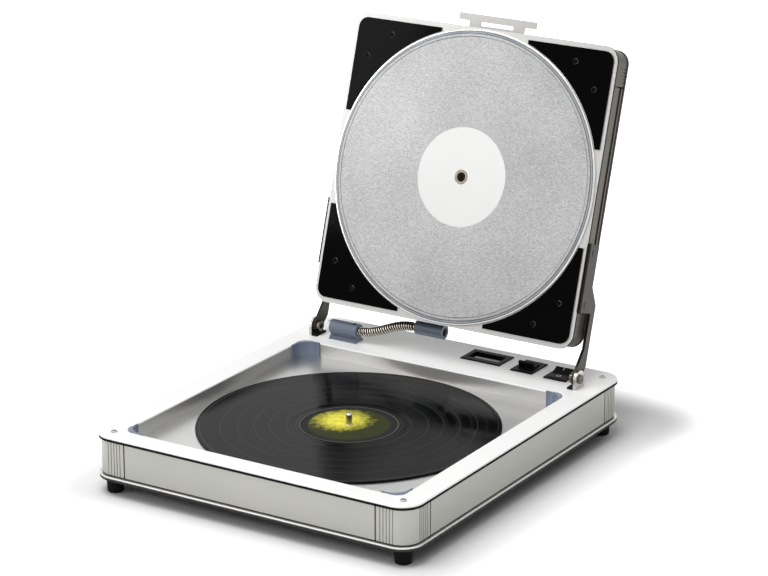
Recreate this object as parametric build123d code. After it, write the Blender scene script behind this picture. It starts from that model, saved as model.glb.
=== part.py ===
from build123d import *
from math import cos, radians, sin, sqrt, tan
import os

# Record flattener: a flat heated box that a 12 inch record lies in, and a hinged
# heated lid that presses on it. Millimetres. X to the right, Y to the back, Z up.
# While it is built the floor is at Z 0 and the base is centred on X 0 and Y 0.
# Just before export everything moves along Y, so that the origin is the middle of
# the bounding box's bottom face with the lid open.

# Base, seen from above: the record sets the lid, the lid the well, the well the base
record_radius = 150.5
lid_past_record = 2.0
lid_side_clearance = 4.25
lid_end_clearance = 3.45
well_side_margin = 24.2
well_front_margin = 22.65
well_rear_margin = 81.55
spindle_behind_centre = 0.95
base_corner_radius = 22.0
corner_leg = 39.0
seam_gap = 1.6
fixing_inset_x = 17.4
fixing_inset_y = 16.3

# Base, stacked from the floor up
foot_height = 16.2
foot_bottom_radius = 8.0
foot_top_radius = 8.9
foot_edge_round = 1.4
bottom_plate_thickness = 2.6
trim_thickness = 1.7
trim_width = 12.0
lower_gasket_thickness = 1.3
wall_height = 34.9
deck_gasket_thickness = 2.6
deck_thickness = 1.5
deck_edge_chamfer = 0.5

# Wall panels and corner posts, the same sections on base and lid
wall_inset = 2.4
wall_thickness = 3.0
gasket_width = 6.4
tongue_thickness = 2.0
tongue_reach = 8.0
post_boss_radius = 4.6
post_web_thickness = 4.0
groove_count = 5
groove_pitch = 3.4
groove_width = 0.9
groove_depth = 0.7
groove_from_seam = 5.0

# Screws
screw_radius = 2.0
screw_head_radius = 3.2
screw_head_height = 1.3
screw_length = 12.0
socket_width = 2.5
screw_clearance = 0.15
stud_radius = 2.4
stud_in_foot = 9.0
stud_in_post = 8.0

# Well for the record
well_corner_radius = 18.0
well_depth = 14.33
liner_thickness = 1.5
insert_thickness = 1.5
insert_clearance = 0.1
insert_side_reach = 3.5
insert_flange_thickness = 0.7
insert_flange_radius = 11.0
insert_flange_shift = 10.5

# Lower heated plate and what lies under it
lower_platen_thickness = 5.0
platen_border = 4.0
heater_thickness = 1.4
heater_border = 22.0
insulation_thickness = 6.0
platen_post_radius = 5.0
platen_post_inset = 12.0

# Spindle and record
spindle_radius = 3.56
spindle_tip_radius = 3.3
spindle_land_above_record = 0.1
spindle_taper_height = 0.5
spindle_above_record = 12.0
spindle_dome = 2.0
spindle_below_platen = 8.0
spindle_fit = 0.04
nut_across_flats = 13.0
nut_height = 5.0
record_hole_radius = 3.64
record_thickness = 1.9
record_edge_bead = 3.4
record_play_recess = 0.2
record_label_recess = 0.3
label_radius = 50.0
label_thickness = 0.25
label_land_radius = 56.0

# Controls on the rear of the deck
display_from_right = 145.15
display_from_rear = 28.8
display_width = 47.0
display_depth = 30.5
display_window_width = 36.0
display_window_depth = 17.0
display_flange_thickness = 1.3
display_body_depth = 11.0
display_body_border = 2.2
lens_thickness = 1.5
lens_recess = 2.6
paddle_from_right = 94.2
paddle_from_rear = 31.4
paddle_bezel_width = 25.5
paddle_bezel_depth = 33.3
paddle_flange_thickness = 1.6
paddle_body_depth = 19.0
paddle_width = 17.0
paddle_drum_radius = 8.5
paddle_pivot_below_deck = 5.0
paddle_length = 14.5
paddle_blade_thickness = 3.6
paddle_lean = 25.0
rocker_from_right = 54.55
rocker_from_rear = 35.55
rocker_bezel_width = 26.0
rocker_bezel_depth = 29.0
rocker_flange_thickness = 1.6
rocker_body_depth = 20.0
rocker_width = 19.6
rocker_length = 23.9
rocker_bend = 28.0
rocker_proud = 0.3
rocker_pivot_below_top = 4.0
rocker_skirt = 5.0
switch_clearance = 0.35
switch_body_border = 1.0
switch_wall = 1.2

# Hinge: brackets on the deck and arms on the lid
hinge_above_deck = 9.3
hinge_below_lid = 27.2
lid_closing_turn = 107.35
closing_gap = 0.3
arm_off_lid_side = 0.4
arm_thickness = 3.0
arm_eye_radius = 7.0
hinge_side_gap = 0.3
hinge_fit = 0.05
bracket_thickness = 2.8
bracket_half_width = 9.0
hinge_bolt_radius = 3.0
hinge_head_radius = 5.5
hinge_head_height = 3.0
hinge_nut_across_flats = 9.0
hinge_nut_height = 1.8
hinge_pad_thickness = 2.0
hinge_pad_inside_arm = 3.4

# Lid, stacked from the pressing face to the back
lid_corner_radius = 16.0
lid_corner_leg = 38.5
face_plate_setback = 2.5
face_plate_thickness = 1.5
lid_gasket_thickness = 2.5
lid_wall_height = 24.0
lid_back_thickness = 3.6
lid_back_inset = 1.8
lid_groove_from_front = 15.0
lid_groove_width = 5.0
lid_groove_depth = 1.2

# Upper heated plate, floating in a ring on the face plate
upper_platen_border = 7.0
upper_platen_thickness = 5.0
upper_platen_flange = 2.0
upper_platen_flange_thickness = 2.0
band_width = 5.5
band_recess = 0.3
part_clearance = 0.1
ring_gap = 0.3
ring_width = 1.9
ring_proud = 2.1
centre_disc_radius = 51.0
centre_disc_recess = 0.6
centre_disc_thickness = 0.55
eyelet_radius = 7.5
eyelet_tube_radius = 5.8
eyelet_hole_radius = 4.8
eyelet_flange_thickness = 0.5
eyelet_length = 6.2
upper_heater_border = 14.0
carrier_depth = 14.0
carrier_thickness = 2.0
carrier_corner_radius = 60.0
guide_pin_radius = 3.0
guide_pin_head_radius = 5.0
guide_pin_head_height = 2.0
guide_pin_from_edge = 33.5
guide_pin_count = 4
guide_fit = 0.08

# Black corner plates of the lid
corner_plate_thickness = 1.5
corner_plate_side_border = 3.5
corner_plate_end_border = 5.2
corner_plate_radius = 10.5
corner_plate_off_ring = 1.0
corner_plate_leg = 98.0
corner_plate_end_round = 0.4
plate_screw_inset_far = 16.2
plate_screw_inset_near = 41.3
plate_screw_radius = 1.5
plate_screw_head_radius = 2.9
plate_screw_head_height = 0.6
plate_screw_length = 6.0

# Lid arms: heights above the hinge's axis, and depths behind the pressing face
arm_pad_top_height = 135.7
arm_pad_foot_height = 66.2
arm_pad_front = -5.2
arm_pad_back = -23.2
arm_slope_top_height = 92.7
arm_slope_foot_height = 74.7
arm_back = -36.7
arm_neck_front = -27.5
arm_neck_foot_height = 29.7
arm_heel_height = 11.7
arm_screw_inset_top = 9.0
arm_screw_inset_foot = 8.0
arm_screw_w = -14.0
arm_screw_head_radius = 3.4
arm_screw_proud = 0.3
arm_spacer_radius = 5.0

# Handle of the lid
handle_half_width = 45.0
handle_neck_half_width = 32.0
handle_above_lid = 14.0
handle_bar_height = 7.0
handle_thickness = 2.0
handle_depth = 24.5
handle_slot_half_length = 19.6
handle_slot_height = 4.0
handle_slot_below_top = 9.3
handle_inside = 12.0

# Conduit and its two clamps
conduit_radius = 4.2
conduit_fit = 0.15
conduit_in_clamp = 14.0
conduit_lead = 6.5
clamp_length = 33.0
clamp_radius = 7.5
clamp_axis_height = 12.2
clamp_foot_width = 12.0
clamp_foot_height = 3.6
clamp_lip_width = 15.0
clamp_lip_height = 1.6
clamp_web_width = 8.0
clamp_notch = 3.0
base_clamp_from_left = 78.45
conduit_span = 68.0
lid_clamp_axis_height = 10.4
lid_clamp_w = -21.0

# Mains inlet and the inner pieces
inlet_from_left = 85.95
inlet_width = 27.0
inlet_height = 20.0
inlet_depth = 18.0
inlet_flange_width = 46.0
inlet_flange_height = 24.0
inlet_flange_thickness = 2.0
inlet_above_wall_foot = 17.4
board_width = 120.0
board_depth = 50.0
board_thickness = 1.6
board_from_right = 110.95
board_from_rear = 42.05
board_standoff_height = 6.0
board_standoff_radius = 3.0
board_standoff_inset = 6.0
transformer_width = 28.0
transformer_depth = 24.0
transformer_height = 10.0
transformer_inset = 12.0

# Levels and places that follow from the sizes above
lid_width = 2 * (record_radius + lid_past_record)
lid_height = lid_width
well_width = lid_width + 2 * lid_side_clearance
well_length = lid_height + 2 * lid_end_clearance
base_width = well_width + 2 * well_side_margin
base_depth = well_length + well_front_margin + well_rear_margin
well_y = -base_depth / 2 + well_front_margin + well_length / 2
spindle_y = well_y + spindle_behind_centre
hinge_to_lid_centre = lid_height / 2 + hinge_below_lid
hinge_y = spindle_y + hinge_to_lid_centre
fixing_x = base_width / 2 - fixing_inset_x
fixing_y = base_depth / 2 - fixing_inset_y
bottom_plate_z = foot_height
trim_z = bottom_plate_z + bottom_plate_thickness
lower_gasket_z = trim_z + trim_thickness
wall_z = lower_gasket_z + lower_gasket_thickness
deck_gasket_z = wall_z + wall_height
deck_z = deck_gasket_z + deck_gasket_thickness
deck_top = deck_z + deck_thickness
platen_top = deck_top - well_depth
platen_z = platen_top - lower_platen_thickness
heater_z = platen_z - heater_thickness
insulation_z = heater_z - insulation_thickness
record_top = platen_top + record_thickness
hinge_z = deck_top + hinge_above_deck
hinge_behind_face = hinge_z - record_top - closing_gap
display_x = base_width / 2 - display_from_right
display_y = base_depth / 2 - display_from_rear
paddle_x = base_width / 2 - paddle_from_right
paddle_y = base_depth / 2 - paddle_from_rear
rocker_x = base_width / 2 - rocker_from_right
rocker_y = base_depth / 2 - rocker_from_rear
arm_inner_x = lid_width / 2 + arm_off_lid_side
arm_outer_x = arm_inner_x + arm_thickness
bracket_inner_x = arm_outer_x + hinge_side_gap
bracket_outer_x = bracket_inner_x + bracket_thickness
hinge_pad_inner_x = arm_inner_x - hinge_pad_inside_arm
face_plate_w = -face_plate_setback - face_plate_thickness
lid_gasket_w = face_plate_w - lid_gasket_thickness
lid_wall_w = lid_gasket_w - lid_wall_height
lid_back_w = lid_wall_w - lid_back_thickness
lid_wall_x = lid_width / 2 - wall_inset
lid_wall_v = lid_height / 2 - wall_inset
carrier_w = -carrier_depth - carrier_thickness
heater_top_w = -upper_platen_thickness
upper_platen_radius = record_radius - upper_platen_border
band_outer_radius = upper_platen_radius + band_width
ring_inner_radius = band_outer_radius + ring_gap
ring_outer_radius = ring_inner_radius + ring_width
guide_pin_circle = upper_platen_radius - guide_pin_from_edge
corner_plate_half_width = lid_width / 2 - corner_plate_side_border
corner_plate_half_height = lid_height / 2 - corner_plate_end_border
corner_plate_arc_radius = ring_outer_radius + corner_plate_off_ring
plate_screw_near = corner_plate_half_width - plate_screw_inset_near
plate_screw_far = corner_plate_half_width - plate_screw_inset_far
arm_pad_top = arm_pad_top_height - hinge_to_lid_centre
arm_pad_foot = arm_pad_foot_height - hinge_to_lid_centre
arm_slope_top = arm_slope_top_height - hinge_to_lid_centre
arm_slope_foot = arm_slope_foot_height - hinge_to_lid_centre
arm_neck_foot = arm_neck_foot_height - hinge_to_lid_centre
arm_heel = arm_heel_height - hinge_to_lid_centre
arm_screw_upper = arm_pad_top - arm_screw_inset_top
arm_screw_lower = arm_pad_foot + arm_screw_inset_foot
handle_top = lid_height / 2 + handle_above_lid
handle_bar_bottom = handle_top - handle_bar_height
handle_slot_centre = handle_top - handle_slot_below_top
base_clamp_right_x = -base_width / 2 + base_clamp_from_left
lid_clamp_left_x = base_clamp_right_x + conduit_span
inlet_x = -base_width / 2 + inlet_from_left
board_x = base_width / 2 - board_from_right
board_y = base_depth / 2 - board_from_rear
base_clamp_z = deck_top + clamp_axis_height
lid_clamp_v = -lid_wall_v - lid_clamp_axis_height


# Small tools for the modelling

def sheet(width, depth, radius, thickness, z=0.0):
    """A plate with round corners whose bottom face is at z."""
    return Pos(0, 0, z) * extrude(RectangleRounded(width, depth, radius), thickness)


def frame(width, depth, radius, border, thickness, z=0.0):
    """A closed frame with round corners, border wide all round."""
    outer = RectangleRounded(width, depth, radius)
    inner = RectangleRounded(width - 2 * border, depth - 2 * border, max(radius - border, 0.5))
    return Pos(0, 0, z) * extrude(outer - inner, thickness)


def block(x0, x1, y0, y1, z0, z1):
    """A box between two corners."""
    middle = Pos((x0 + x1) / 2, (y0 + y1) / 2, (z0 + z1) / 2)
    return middle * Box(x1 - x0, y1 - y0, z1 - z0)


def rod(radius, x, y, z0, z1):
    """An upright cylinder."""
    return Pos(x, y, (z0 + z1) / 2) * Cylinder(radius, z1 - z0)


def rod_x(radius, x0, x1, y, z):
    """A cylinder that lies along X."""
    return Pos((x0 + x1) / 2, y, z) * Rot(0, 90, 0) * Cylinder(radius, x1 - x0)


def hexagon(across_flats, height, x, y, z):
    """An upright six-sided bar whose bottom face is at z."""
    return Pos(x, y, z) * extrude(RegularPolygon(across_flats / sqrt(3), 6), height)


def group(pieces):
    """Several separate solids that make one node."""
    solids = []
    for piece in pieces:
        solids.extend(piece.solids())
    return Compound(children=solids)


def cut_away(piece, cutters):
    """The piece with every solid of the cutters taken away."""
    for cutter in cutters.solids():
        piece = piece - cutter
    return piece


def in_four_corners(piece):
    """The piece of the right rear corner and its three mirror images."""
    right = [piece, mirror(piece, about=Plane.XZ)]
    left = [mirror(one, about=Plane.YZ) for one in right]
    return group(right + left)


def on_both_sides(piece):
    """The piece of the right side and its mirror image."""
    return group([piece, mirror(piece, about=Plane.YZ)])


def on_lid(piece):
    """Moves a piece from lid coordinates to its place on the open lid.

    In lid coordinates the pressing face's centre is the origin, X is the same,
    Y runs up the lid and Z comes out of its face.
    """
    turn = Rot(180 - lid_closing_turn, 0, 0)
    from_hinge = Pos(0, hinge_to_lid_centre, hinge_behind_face)
    return Pos(0, hinge_y, hinge_z) * turn * from_hinge * piece


def screw(x, y, z, head_radius, head_height, radius, length):
    """A button-head screw that points down, its head's underside at z."""
    head = Pos(x, y, z + head_height / 2) * Cylinder(head_radius, head_height)
    head = fillet(head.edges().group_by(Axis.Z)[-1], head_height * 0.45)
    socket = hexagon(socket_width, head_height, x, y, z + head_height * 0.4)
    return head + rod(radius, x, y, z - length, z) - socket


def wall_grooves(outer_x, outer_y, leg, height, z):
    """The fine upright grooves beside the two seams of a corner post."""
    cutters = []
    for step in range(groove_count):
        back = leg - groove_from_seam - groove_pitch * step
        x = outer_x + wall_inset - back
        y = outer_y + wall_inset - back
        cutters.append(block(x - groove_width / 2, x + groove_width / 2,
                             outer_y - groove_depth, outer_y + 1, z, z + height))
        cutters.append(block(outer_x - groove_depth, outer_x + 1,
                             y - groove_width / 2, y + groove_width / 2, z, z + height))
    return cutters


def corner_post(outer_x, outer_y, radius, leg, height, z, boss_x, boss_y):
    """A round corner profile with two tongues that reach behind the panels."""
    wide = 2 * outer_x
    deep = 2 * outer_y
    inside = wall_thickness + tongue_thickness
    skin = frame(wide, deep, radius, wall_thickness, height, z)
    backing = frame(wide - 2 * wall_thickness, deep - 2 * wall_thickness,
                    max(radius - wall_thickness, 1.0), tongue_thickness, height, z)
    edge_x = outer_x + wall_inset - leg + seam_gap / 2
    edge_y = outer_y + wall_inset - leg + seam_gap / 2
    skin = skin & block(edge_x, outer_x + 1, edge_y, outer_y + 1, z, z + height)
    backing = backing & block(edge_x - tongue_reach, outer_x, edge_y - tongue_reach,
                              outer_y, z, z + height)
    web_reach = outer_x - inside / 2 - boss_x
    web = block(boss_x, boss_x + web_reach, boss_y - post_web_thickness / 2,
                boss_y + post_web_thickness / 2, z, z + height)
    post = skin + backing + web + rod(post_boss_radius, boss_x, boss_y, z, z + height)
    bore = rod(screw_radius + screw_clearance, boss_x, boss_y, z - 1, z + height + 1)
    post = post - bore
    for cutter in wall_grooves(outer_x, outer_y, leg, height, z):
        post = post - cutter
    return post


# Base

def make_foot():
    """A tapered rubber foot with the blind hole of its stud."""
    foot = Pos(fixing_x, fixing_y, foot_height / 2) * Cone(foot_bottom_radius,
                                                           foot_top_radius, foot_height)
    foot = fillet(foot.edges().group_by(Axis.Z)[0], foot_edge_round)
    hole = rod(stud_radius + screw_clearance, fixing_x, fixing_y,
               foot_height - stud_in_foot - 0.3, foot_height + 1)
    return foot - hole


def make_stud():
    """The stud that holds a foot to the corner post above it."""
    top = wall_z + stud_in_post
    stud = rod(stud_radius, fixing_x, fixing_y, foot_height - stud_in_foot, wall_z - 0.3)
    tip = rod(screw_radius, fixing_x, fixing_y, wall_z - 0.3, top)
    return stud + tip


def make_bottom_plate():
    """The plate that closes the case from below."""
    plate = sheet(base_width, base_depth, base_corner_radius,
                  bottom_plate_thickness, bottom_plate_z)
    hole = rod(stud_radius + screw_clearance, fixing_x, fixing_y,
               bottom_plate_z - 1, trim_z + 1)
    return cut_away(plate, in_four_corners(hole))


def make_front_wall():
    """The front panel, held between the tongues of two corner posts."""
    half = base_width / 2 - corner_leg - seam_gap / 2
    face = -base_depth / 2 + wall_inset
    return block(-half, half, face, face + wall_thickness, wall_z, wall_z + wall_height)


def make_rear_wall():
    """The rear panel with the opening for the mains inlet."""
    panel = mirror(make_front_wall(), about=Plane.XZ)
    middle = wall_z + inlet_above_wall_foot
    opening = block(inlet_x - inlet_width / 2 - part_clearance,
                    inlet_x + inlet_width / 2 + part_clearance,
                    base_depth / 2 - wall_inset - wall_thickness - 1, base_depth / 2,
                    middle - inlet_height / 2 - part_clearance,
                    middle + inlet_height / 2 + part_clearance)
    seat = block(inlet_x - inlet_flange_width / 2 - part_clearance,
                 inlet_x + inlet_flange_width / 2 + part_clearance,
                 base_depth / 2 - wall_inset - inlet_flange_thickness / 2, base_depth / 2,
                 middle - inlet_flange_height / 2 - part_clearance,
                 middle + inlet_flange_height / 2 + part_clearance)
    return panel - opening - seat


def make_side_walls():
    """The left and right panels."""
    half = base_depth / 2 - corner_leg - seam_gap / 2
    face = base_width / 2 - wall_inset
    return on_both_sides(block(face - wall_thickness, face, -half, half,
                               wall_z, wall_z + wall_height))


def make_base_posts():
    """The four grooved corner posts of the base."""
    post = corner_post(base_width / 2 - wall_inset, base_depth / 2 - wall_inset,
                       base_corner_radius - wall_inset, corner_leg, wall_height, wall_z,
                       fixing_x, fixing_y)
    return in_four_corners(post)


def display_cut():
    """The hole in the deck for the display."""
    return block(display_x - display_width / 2 + display_body_border,
                 display_x + display_width / 2 - display_body_border,
                 display_y - display_depth / 2 + display_body_border,
                 display_y + display_depth / 2 - display_body_border,
                 deck_z - 1, deck_top + 1)


def switch_cut(x, y, width, depth):
    """The hole in the deck for a switch body."""
    border = switch_body_border - part_clearance
    return block(x - width / 2 + border, x + width / 2 - border,
                 y - depth / 2 + border, y + depth / 2 - border,
                 deck_z - 1, deck_top + 1)


def make_deck():
    """The deck plate with the well, the control openings and the screw holes."""
    deck = sheet(base_width, base_depth, base_corner_radius, deck_thickness, deck_z)
    well = Pos(0, well_y, 0) * sheet(well_width, well_length, well_corner_radius,
                                     deck_thickness + 2, deck_z - 1)
    deck = deck - well
    deck = chamfer(deck.faces().sort_by(Axis.Z)[-1].edges(), deck_edge_chamfer)
    hole = rod(screw_radius + screw_clearance, fixing_x, fixing_y, deck_z - 1, deck_top + 1)
    deck = cut_away(deck, in_four_corners(hole)) - display_cut()
    deck = deck - switch_cut(paddle_x, paddle_y, paddle_bezel_width, paddle_bezel_depth)
    return deck - switch_cut(rocker_x, rocker_y, rocker_bezel_width, rocker_bezel_depth)


def make_well_liner():
    """The wall of the well, from the lower plate up to the deck."""
    width = well_width + 2 * liner_thickness
    length = well_length + 2 * liner_thickness
    liner = frame(width, length, well_corner_radius + liner_thickness, liner_thickness,
                  deck_z - platen_top, platen_top)
    return Pos(0, well_y, 0) * liner


def make_well_insert():
    """A round corner insert of the well with its flange on the deck."""
    corner_x = well_width / 2 - well_corner_radius
    corner_y = well_length / 2 - well_corner_radius
    height = deck_top + insert_flange_thickness - platen_top
    skin = frame(well_width - 2 * insert_clearance, well_length - 2 * insert_clearance,
                 well_corner_radius - insert_clearance, insert_thickness, height, platen_top)
    skin = skin & block(corner_x - insert_side_reach, well_width / 2,
                        corner_y - insert_side_reach, well_length / 2,
                        platen_top, platen_top + height)
    shift = insert_flange_shift / sqrt(2)
    flange = Pos(corner_x + shift, corner_y + shift, deck_top) * extrude(
        Circle(insert_flange_radius), insert_flange_thickness)
    inside = sheet(well_width - 2 * insert_clearance - insert_thickness,
                   well_length - 2 * insert_clearance - insert_thickness,
                   well_corner_radius - insert_clearance - insert_thickness / 2,
                   insert_flange_thickness, deck_top)
    return skin + (flange - inside)


def make_well_inserts():
    """The four corner inserts of the well."""
    return Pos(0, well_y, 0) * in_four_corners(make_well_insert())


def make_lower_platen():
    """The polished lower heated plate, the floor of the well."""
    width = well_width + 2 * platen_border
    length = well_length + 2 * platen_border
    plate = Pos(0, well_y, 0) * sheet(width, length, well_corner_radius,
                                      lower_platen_thickness, platen_z)
    return plate - rod(spindle_radius + spindle_fit, 0, spindle_y,
                       platen_z - 1, platen_top + 1)


def make_lower_layer(thickness, z):
    """A flat layer under the lower plate, open around the spindle nut."""
    layer = Pos(0, well_y, 0) * sheet(well_width - 2 * heater_border,
                                      well_length - 2 * heater_border,
                                      well_corner_radius, thickness, z)
    return layer - rod(nut_across_flats * 0.75, 0, spindle_y, z - 1, z + thickness + 1)


def make_platen_posts():
    """The pillars between the bottom plate and the lower plate."""
    x = well_width / 2 - platen_post_inset
    y = well_length / 2 - platen_post_inset
    return Pos(0, well_y, 0) * in_four_corners(rod(platen_post_radius, x, y, trim_z, platen_z))


def make_spindle():
    """The centre pin: a land that centres the record, a short taper and a round-topped tip."""
    top = record_top + spindle_above_record
    land_top = record_top + spindle_land_above_record
    tip = rod(spindle_tip_radius, 0, spindle_y, land_top + spindle_taper_height, top)
    tip = fillet(tip.edges().group_by(Axis.Z)[-1], spindle_dome)
    taper = Pos(0, spindle_y, land_top + spindle_taper_height / 2) * Cone(
        spindle_radius, spindle_tip_radius, spindle_taper_height)
    return tip + taper + rod(spindle_radius, 0, spindle_y, platen_z - spindle_below_platen, land_top)


def make_spindle_nut():
    """The nut that holds the spindle under the lower plate."""
    nut = hexagon(nut_across_flats, nut_height, 0, spindle_y, platen_z - nut_height)
    return nut - rod(spindle_radius + spindle_fit, 0, spindle_y,
                     platen_z - nut_height - 1, platen_z + 1)


def make_record():
    """A 12 inch record, turned from its half section."""
    top = record_thickness
    play = top - record_play_recess
    land = top - record_label_recess
    edge = record_radius - record_edge_bead
    points = [(record_hole_radius, 0), (record_radius - 0.5, 0), (record_radius, 0.5),
              (record_radius, top - 0.6), (record_radius - 0.6, top), (edge, top),
              (edge - 1.2, play), (label_land_radius + 1, play), (label_land_radius, land),
              (record_hole_radius, land)]
    section = make_face(Plane.XZ * Polyline(points, close=True))
    return Pos(0, spindle_y, platen_top) * revolve(section, Axis.Z)


def make_label():
    """The plain paper label of the record."""
    disc = Circle(label_radius) - Circle(record_hole_radius)
    level = record_top - record_label_recess
    return Pos(0, spindle_y, level) * extrude(disc, label_thickness)


# Controls

def make_display_bezel():
    """The black frame of the display with its sleeve through the deck."""
    flange = block(display_x - display_width / 2, display_x + display_width / 2,
                   display_y - display_depth / 2, display_y + display_depth / 2,
                   deck_top, deck_top + display_flange_thickness)
    flange = chamfer(flange.edges().group_by(Axis.Z)[-1], 0.6)
    border = display_body_border + part_clearance
    sleeve = block(display_x - display_width / 2 + border, display_x + display_width / 2 - border,
                   display_y - display_depth / 2 + border, display_y + display_depth / 2 - border,
                   deck_top - display_body_depth, deck_top)
    window = block(display_x - display_window_width / 2, display_x + display_window_width / 2,
                   display_y - display_window_depth / 2, display_y + display_window_depth / 2,
                   deck_top - display_body_depth - 1, deck_top + display_flange_thickness + 1)
    return flange + sleeve - window


def make_display_lens():
    """The clear window of the display, below the frame's top."""
    top = deck_top + display_flange_thickness - lens_recess
    half_width = display_window_width / 2 - part_clearance
    half_depth = display_window_depth / 2 - part_clearance
    return block(display_x - half_width, display_x + half_width,
                 display_y - half_depth, display_y + half_depth, top - lens_thickness, top)


def make_display_module():
    """The display itself: a slab under the lens with its driver board."""
    half_width = display_window_width / 2 - part_clearance
    half_depth = display_window_depth / 2 - part_clearance
    lens_foot = deck_top + display_flange_thickness - lens_recess - lens_thickness
    foot = deck_top - display_body_depth
    slab = block(display_x - half_width, display_x + half_width,
                 display_y - half_depth, display_y + half_depth, foot, lens_foot)
    border = display_body_border + part_clearance
    driver = block(display_x - display_width / 2 + border, display_x + display_width / 2 - border,
                   display_y - display_depth / 2 + border, display_y + display_depth / 2 - border,
                   foot - board_thickness, foot)
    return slab + driver


def switch_housing(x, y, width, depth, flange_thickness, body_depth, open_x, open_y):
    """A switch body with its flange on the deck and a well for the actuator."""
    flange = block(x - width / 2, x + width / 2, y - depth / 2, y + depth / 2,
                   deck_top, deck_top + flange_thickness)
    flange = chamfer(flange.edges().group_by(Axis.Z)[-1], 0.5)
    border = switch_body_border + part_clearance
    body = block(x - width / 2 + border, x + width / 2 - border,
                 y - depth / 2 + border, y + depth / 2 - border,
                 deck_top - body_depth, deck_top)
    floor = deck_top - body_depth + switch_wall
    well = block(x - open_x / 2, x + open_x / 2, y - open_y / 2, y + open_y / 2,
                 floor, deck_top + flange_thickness + 1)
    return flange + body - well


def paddle_pivot():
    """The height of the paddle's pivot."""
    return deck_top - paddle_pivot_below_deck


def make_paddle_housing():
    """The body of the paddle switch with its pivot pin."""
    open_x = paddle_width + 2 * switch_clearance
    open_y = 2 * paddle_drum_radius + 2 * switch_clearance
    housing = switch_housing(paddle_x, paddle_y, paddle_bezel_width, paddle_bezel_depth,
                             paddle_flange_thickness, paddle_body_depth, open_x, open_y)
    return housing + rod_x(1.5, paddle_x - open_x / 2, paddle_x + open_x / 2,
                           paddle_y, paddle_pivot())


def make_paddle():
    """The standing paddle of the middle switch, leaning to the front."""
    drum = rod_x(paddle_drum_radius, -paddle_width / 2, paddle_width / 2, 0, 0)
    half = paddle_blade_thickness / 2
    blade = block(-paddle_width / 2, paddle_width / 2, -half, half, 0, paddle_length)
    blade = fillet(blade.edges().group_by(Axis.Z)[-1].filter_by(Axis.X), half * 0.6)
    bore = rod_x(1.5 + hinge_fit, -paddle_width / 2 - 1, paddle_width / 2 + 1, 0, 0)
    lever = Rot(paddle_lean, 0, 0) * (drum + blade - bore)
    return Pos(paddle_x, paddle_y, paddle_pivot()) * lever


def rocker_pivot():
    """The height of the rocker's pivot."""
    return deck_top + rocker_flange_thickness - rocker_pivot_below_top


def make_rocker_housing():
    """The body of the power switch with its pivot pin."""
    open_x = rocker_width + 2 * switch_clearance
    open_y = rocker_length + 2 * switch_clearance
    housing = switch_housing(rocker_x, rocker_y, rocker_bezel_width, rocker_bezel_depth,
                             rocker_flange_thickness, rocker_body_depth, open_x, open_y)
    return housing + rod_x(1.5, rocker_x - open_x / 2, rocker_x + open_x / 2,
                           rocker_y, rocker_pivot())


def make_rocker():
    """The bent rocker of the power switch, its front half pressed level.

    Both ends lie on a circle about the pivot, so they pass the bezel as it tips.
    """
    end_radius = rocker_length / 2
    level = rocker_pivot_below_top + rocker_proud
    front_y = -sqrt(end_radius ** 2 - level ** 2)
    front_angle = Vector(1, 0, 0).get_angle(Vector(front_y, level, 0))
    rear_angle = 180 - front_angle + rocker_bend
    rear_y = end_radius * cos(radians(rear_angle))
    rear_z = end_radius * sin(radians(rear_angle))
    valley_y = rear_y - (rear_z - level) / tan(radians(rocker_bend))
    under = Polyline([(front_y * 2, level), (valley_y, level), (rear_y, rear_z),
                      (end_radius * 2, rear_z), (end_radius * 2, 0), (rocker_skirt * 2, -rocker_skirt),
                      (-rocker_skirt * 2, -rocker_skirt), (-end_radius * 2, 0)], close=True)
    section = Circle(end_radius) & make_face(under)
    body = extrude(Plane.YZ * section, rocker_width / 2, both=True)
    bore = rod_x(1.5 + hinge_fit, -rocker_width / 2 - 1, rocker_width / 2 + 1, 0, 0)
    return Pos(rocker_x, rocker_y, rocker_pivot()) * (body - bore)


# Hinge

def make_hinge_bracket():
    """The upright bracket with a round top that carries one hinge bolt."""
    profile = Pos(hinge_y, hinge_z) * Circle(bracket_half_width)
    shank = Pos(hinge_y, (deck_top + hinge_z) / 2) * Rectangle(2 * bracket_half_width,
                                                              hinge_z - deck_top)
    plate = extrude(Plane.YZ * (profile + shank), bracket_thickness)
    plate = Pos(bracket_inner_x, 0, 0) * plate
    hole = rod_x(hinge_bolt_radius + hinge_fit, bracket_inner_x - 1, bracket_outer_x + 1,
                 hinge_y, hinge_z)
    return plate - hole


def make_hinge_pad():
    """The black pad on the deck, inside the bracket and under the arm's eye."""
    return block(hinge_pad_inner_x, bracket_inner_x - part_clearance,
                 hinge_y - bracket_half_width, hinge_y + bracket_half_width,
                 deck_top, deck_top + hinge_pad_thickness)


def make_hinge_bolt():
    """The socket-head bolt that the arm turns on."""
    head_x = arm_inner_x - hinge_side_gap
    shank = rod_x(hinge_bolt_radius, head_x, bracket_outer_x + hinge_nut_height, hinge_y, hinge_z)
    head = rod_x(hinge_head_radius, head_x - hinge_head_height, head_x, hinge_y, hinge_z)
    socket = Pos(head_x - hinge_head_height, hinge_y, hinge_z) * Rot(0, 90, 0) * extrude(
        RegularPolygon(hinge_bolt_radius, 6), hinge_head_height * 0.6)
    return head + shank - socket


def make_hinge_nut():
    """The thin nut on the outer end of the hinge bolt."""
    nut = extrude(RegularPolygon(hinge_nut_across_flats / sqrt(3), 6)
                  - Circle(hinge_bolt_radius + hinge_fit), hinge_nut_height)
    return Pos(bracket_outer_x, hinge_y, hinge_z) * Rot(0, 90, 0) * nut


# Conduit and clamps

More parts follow.
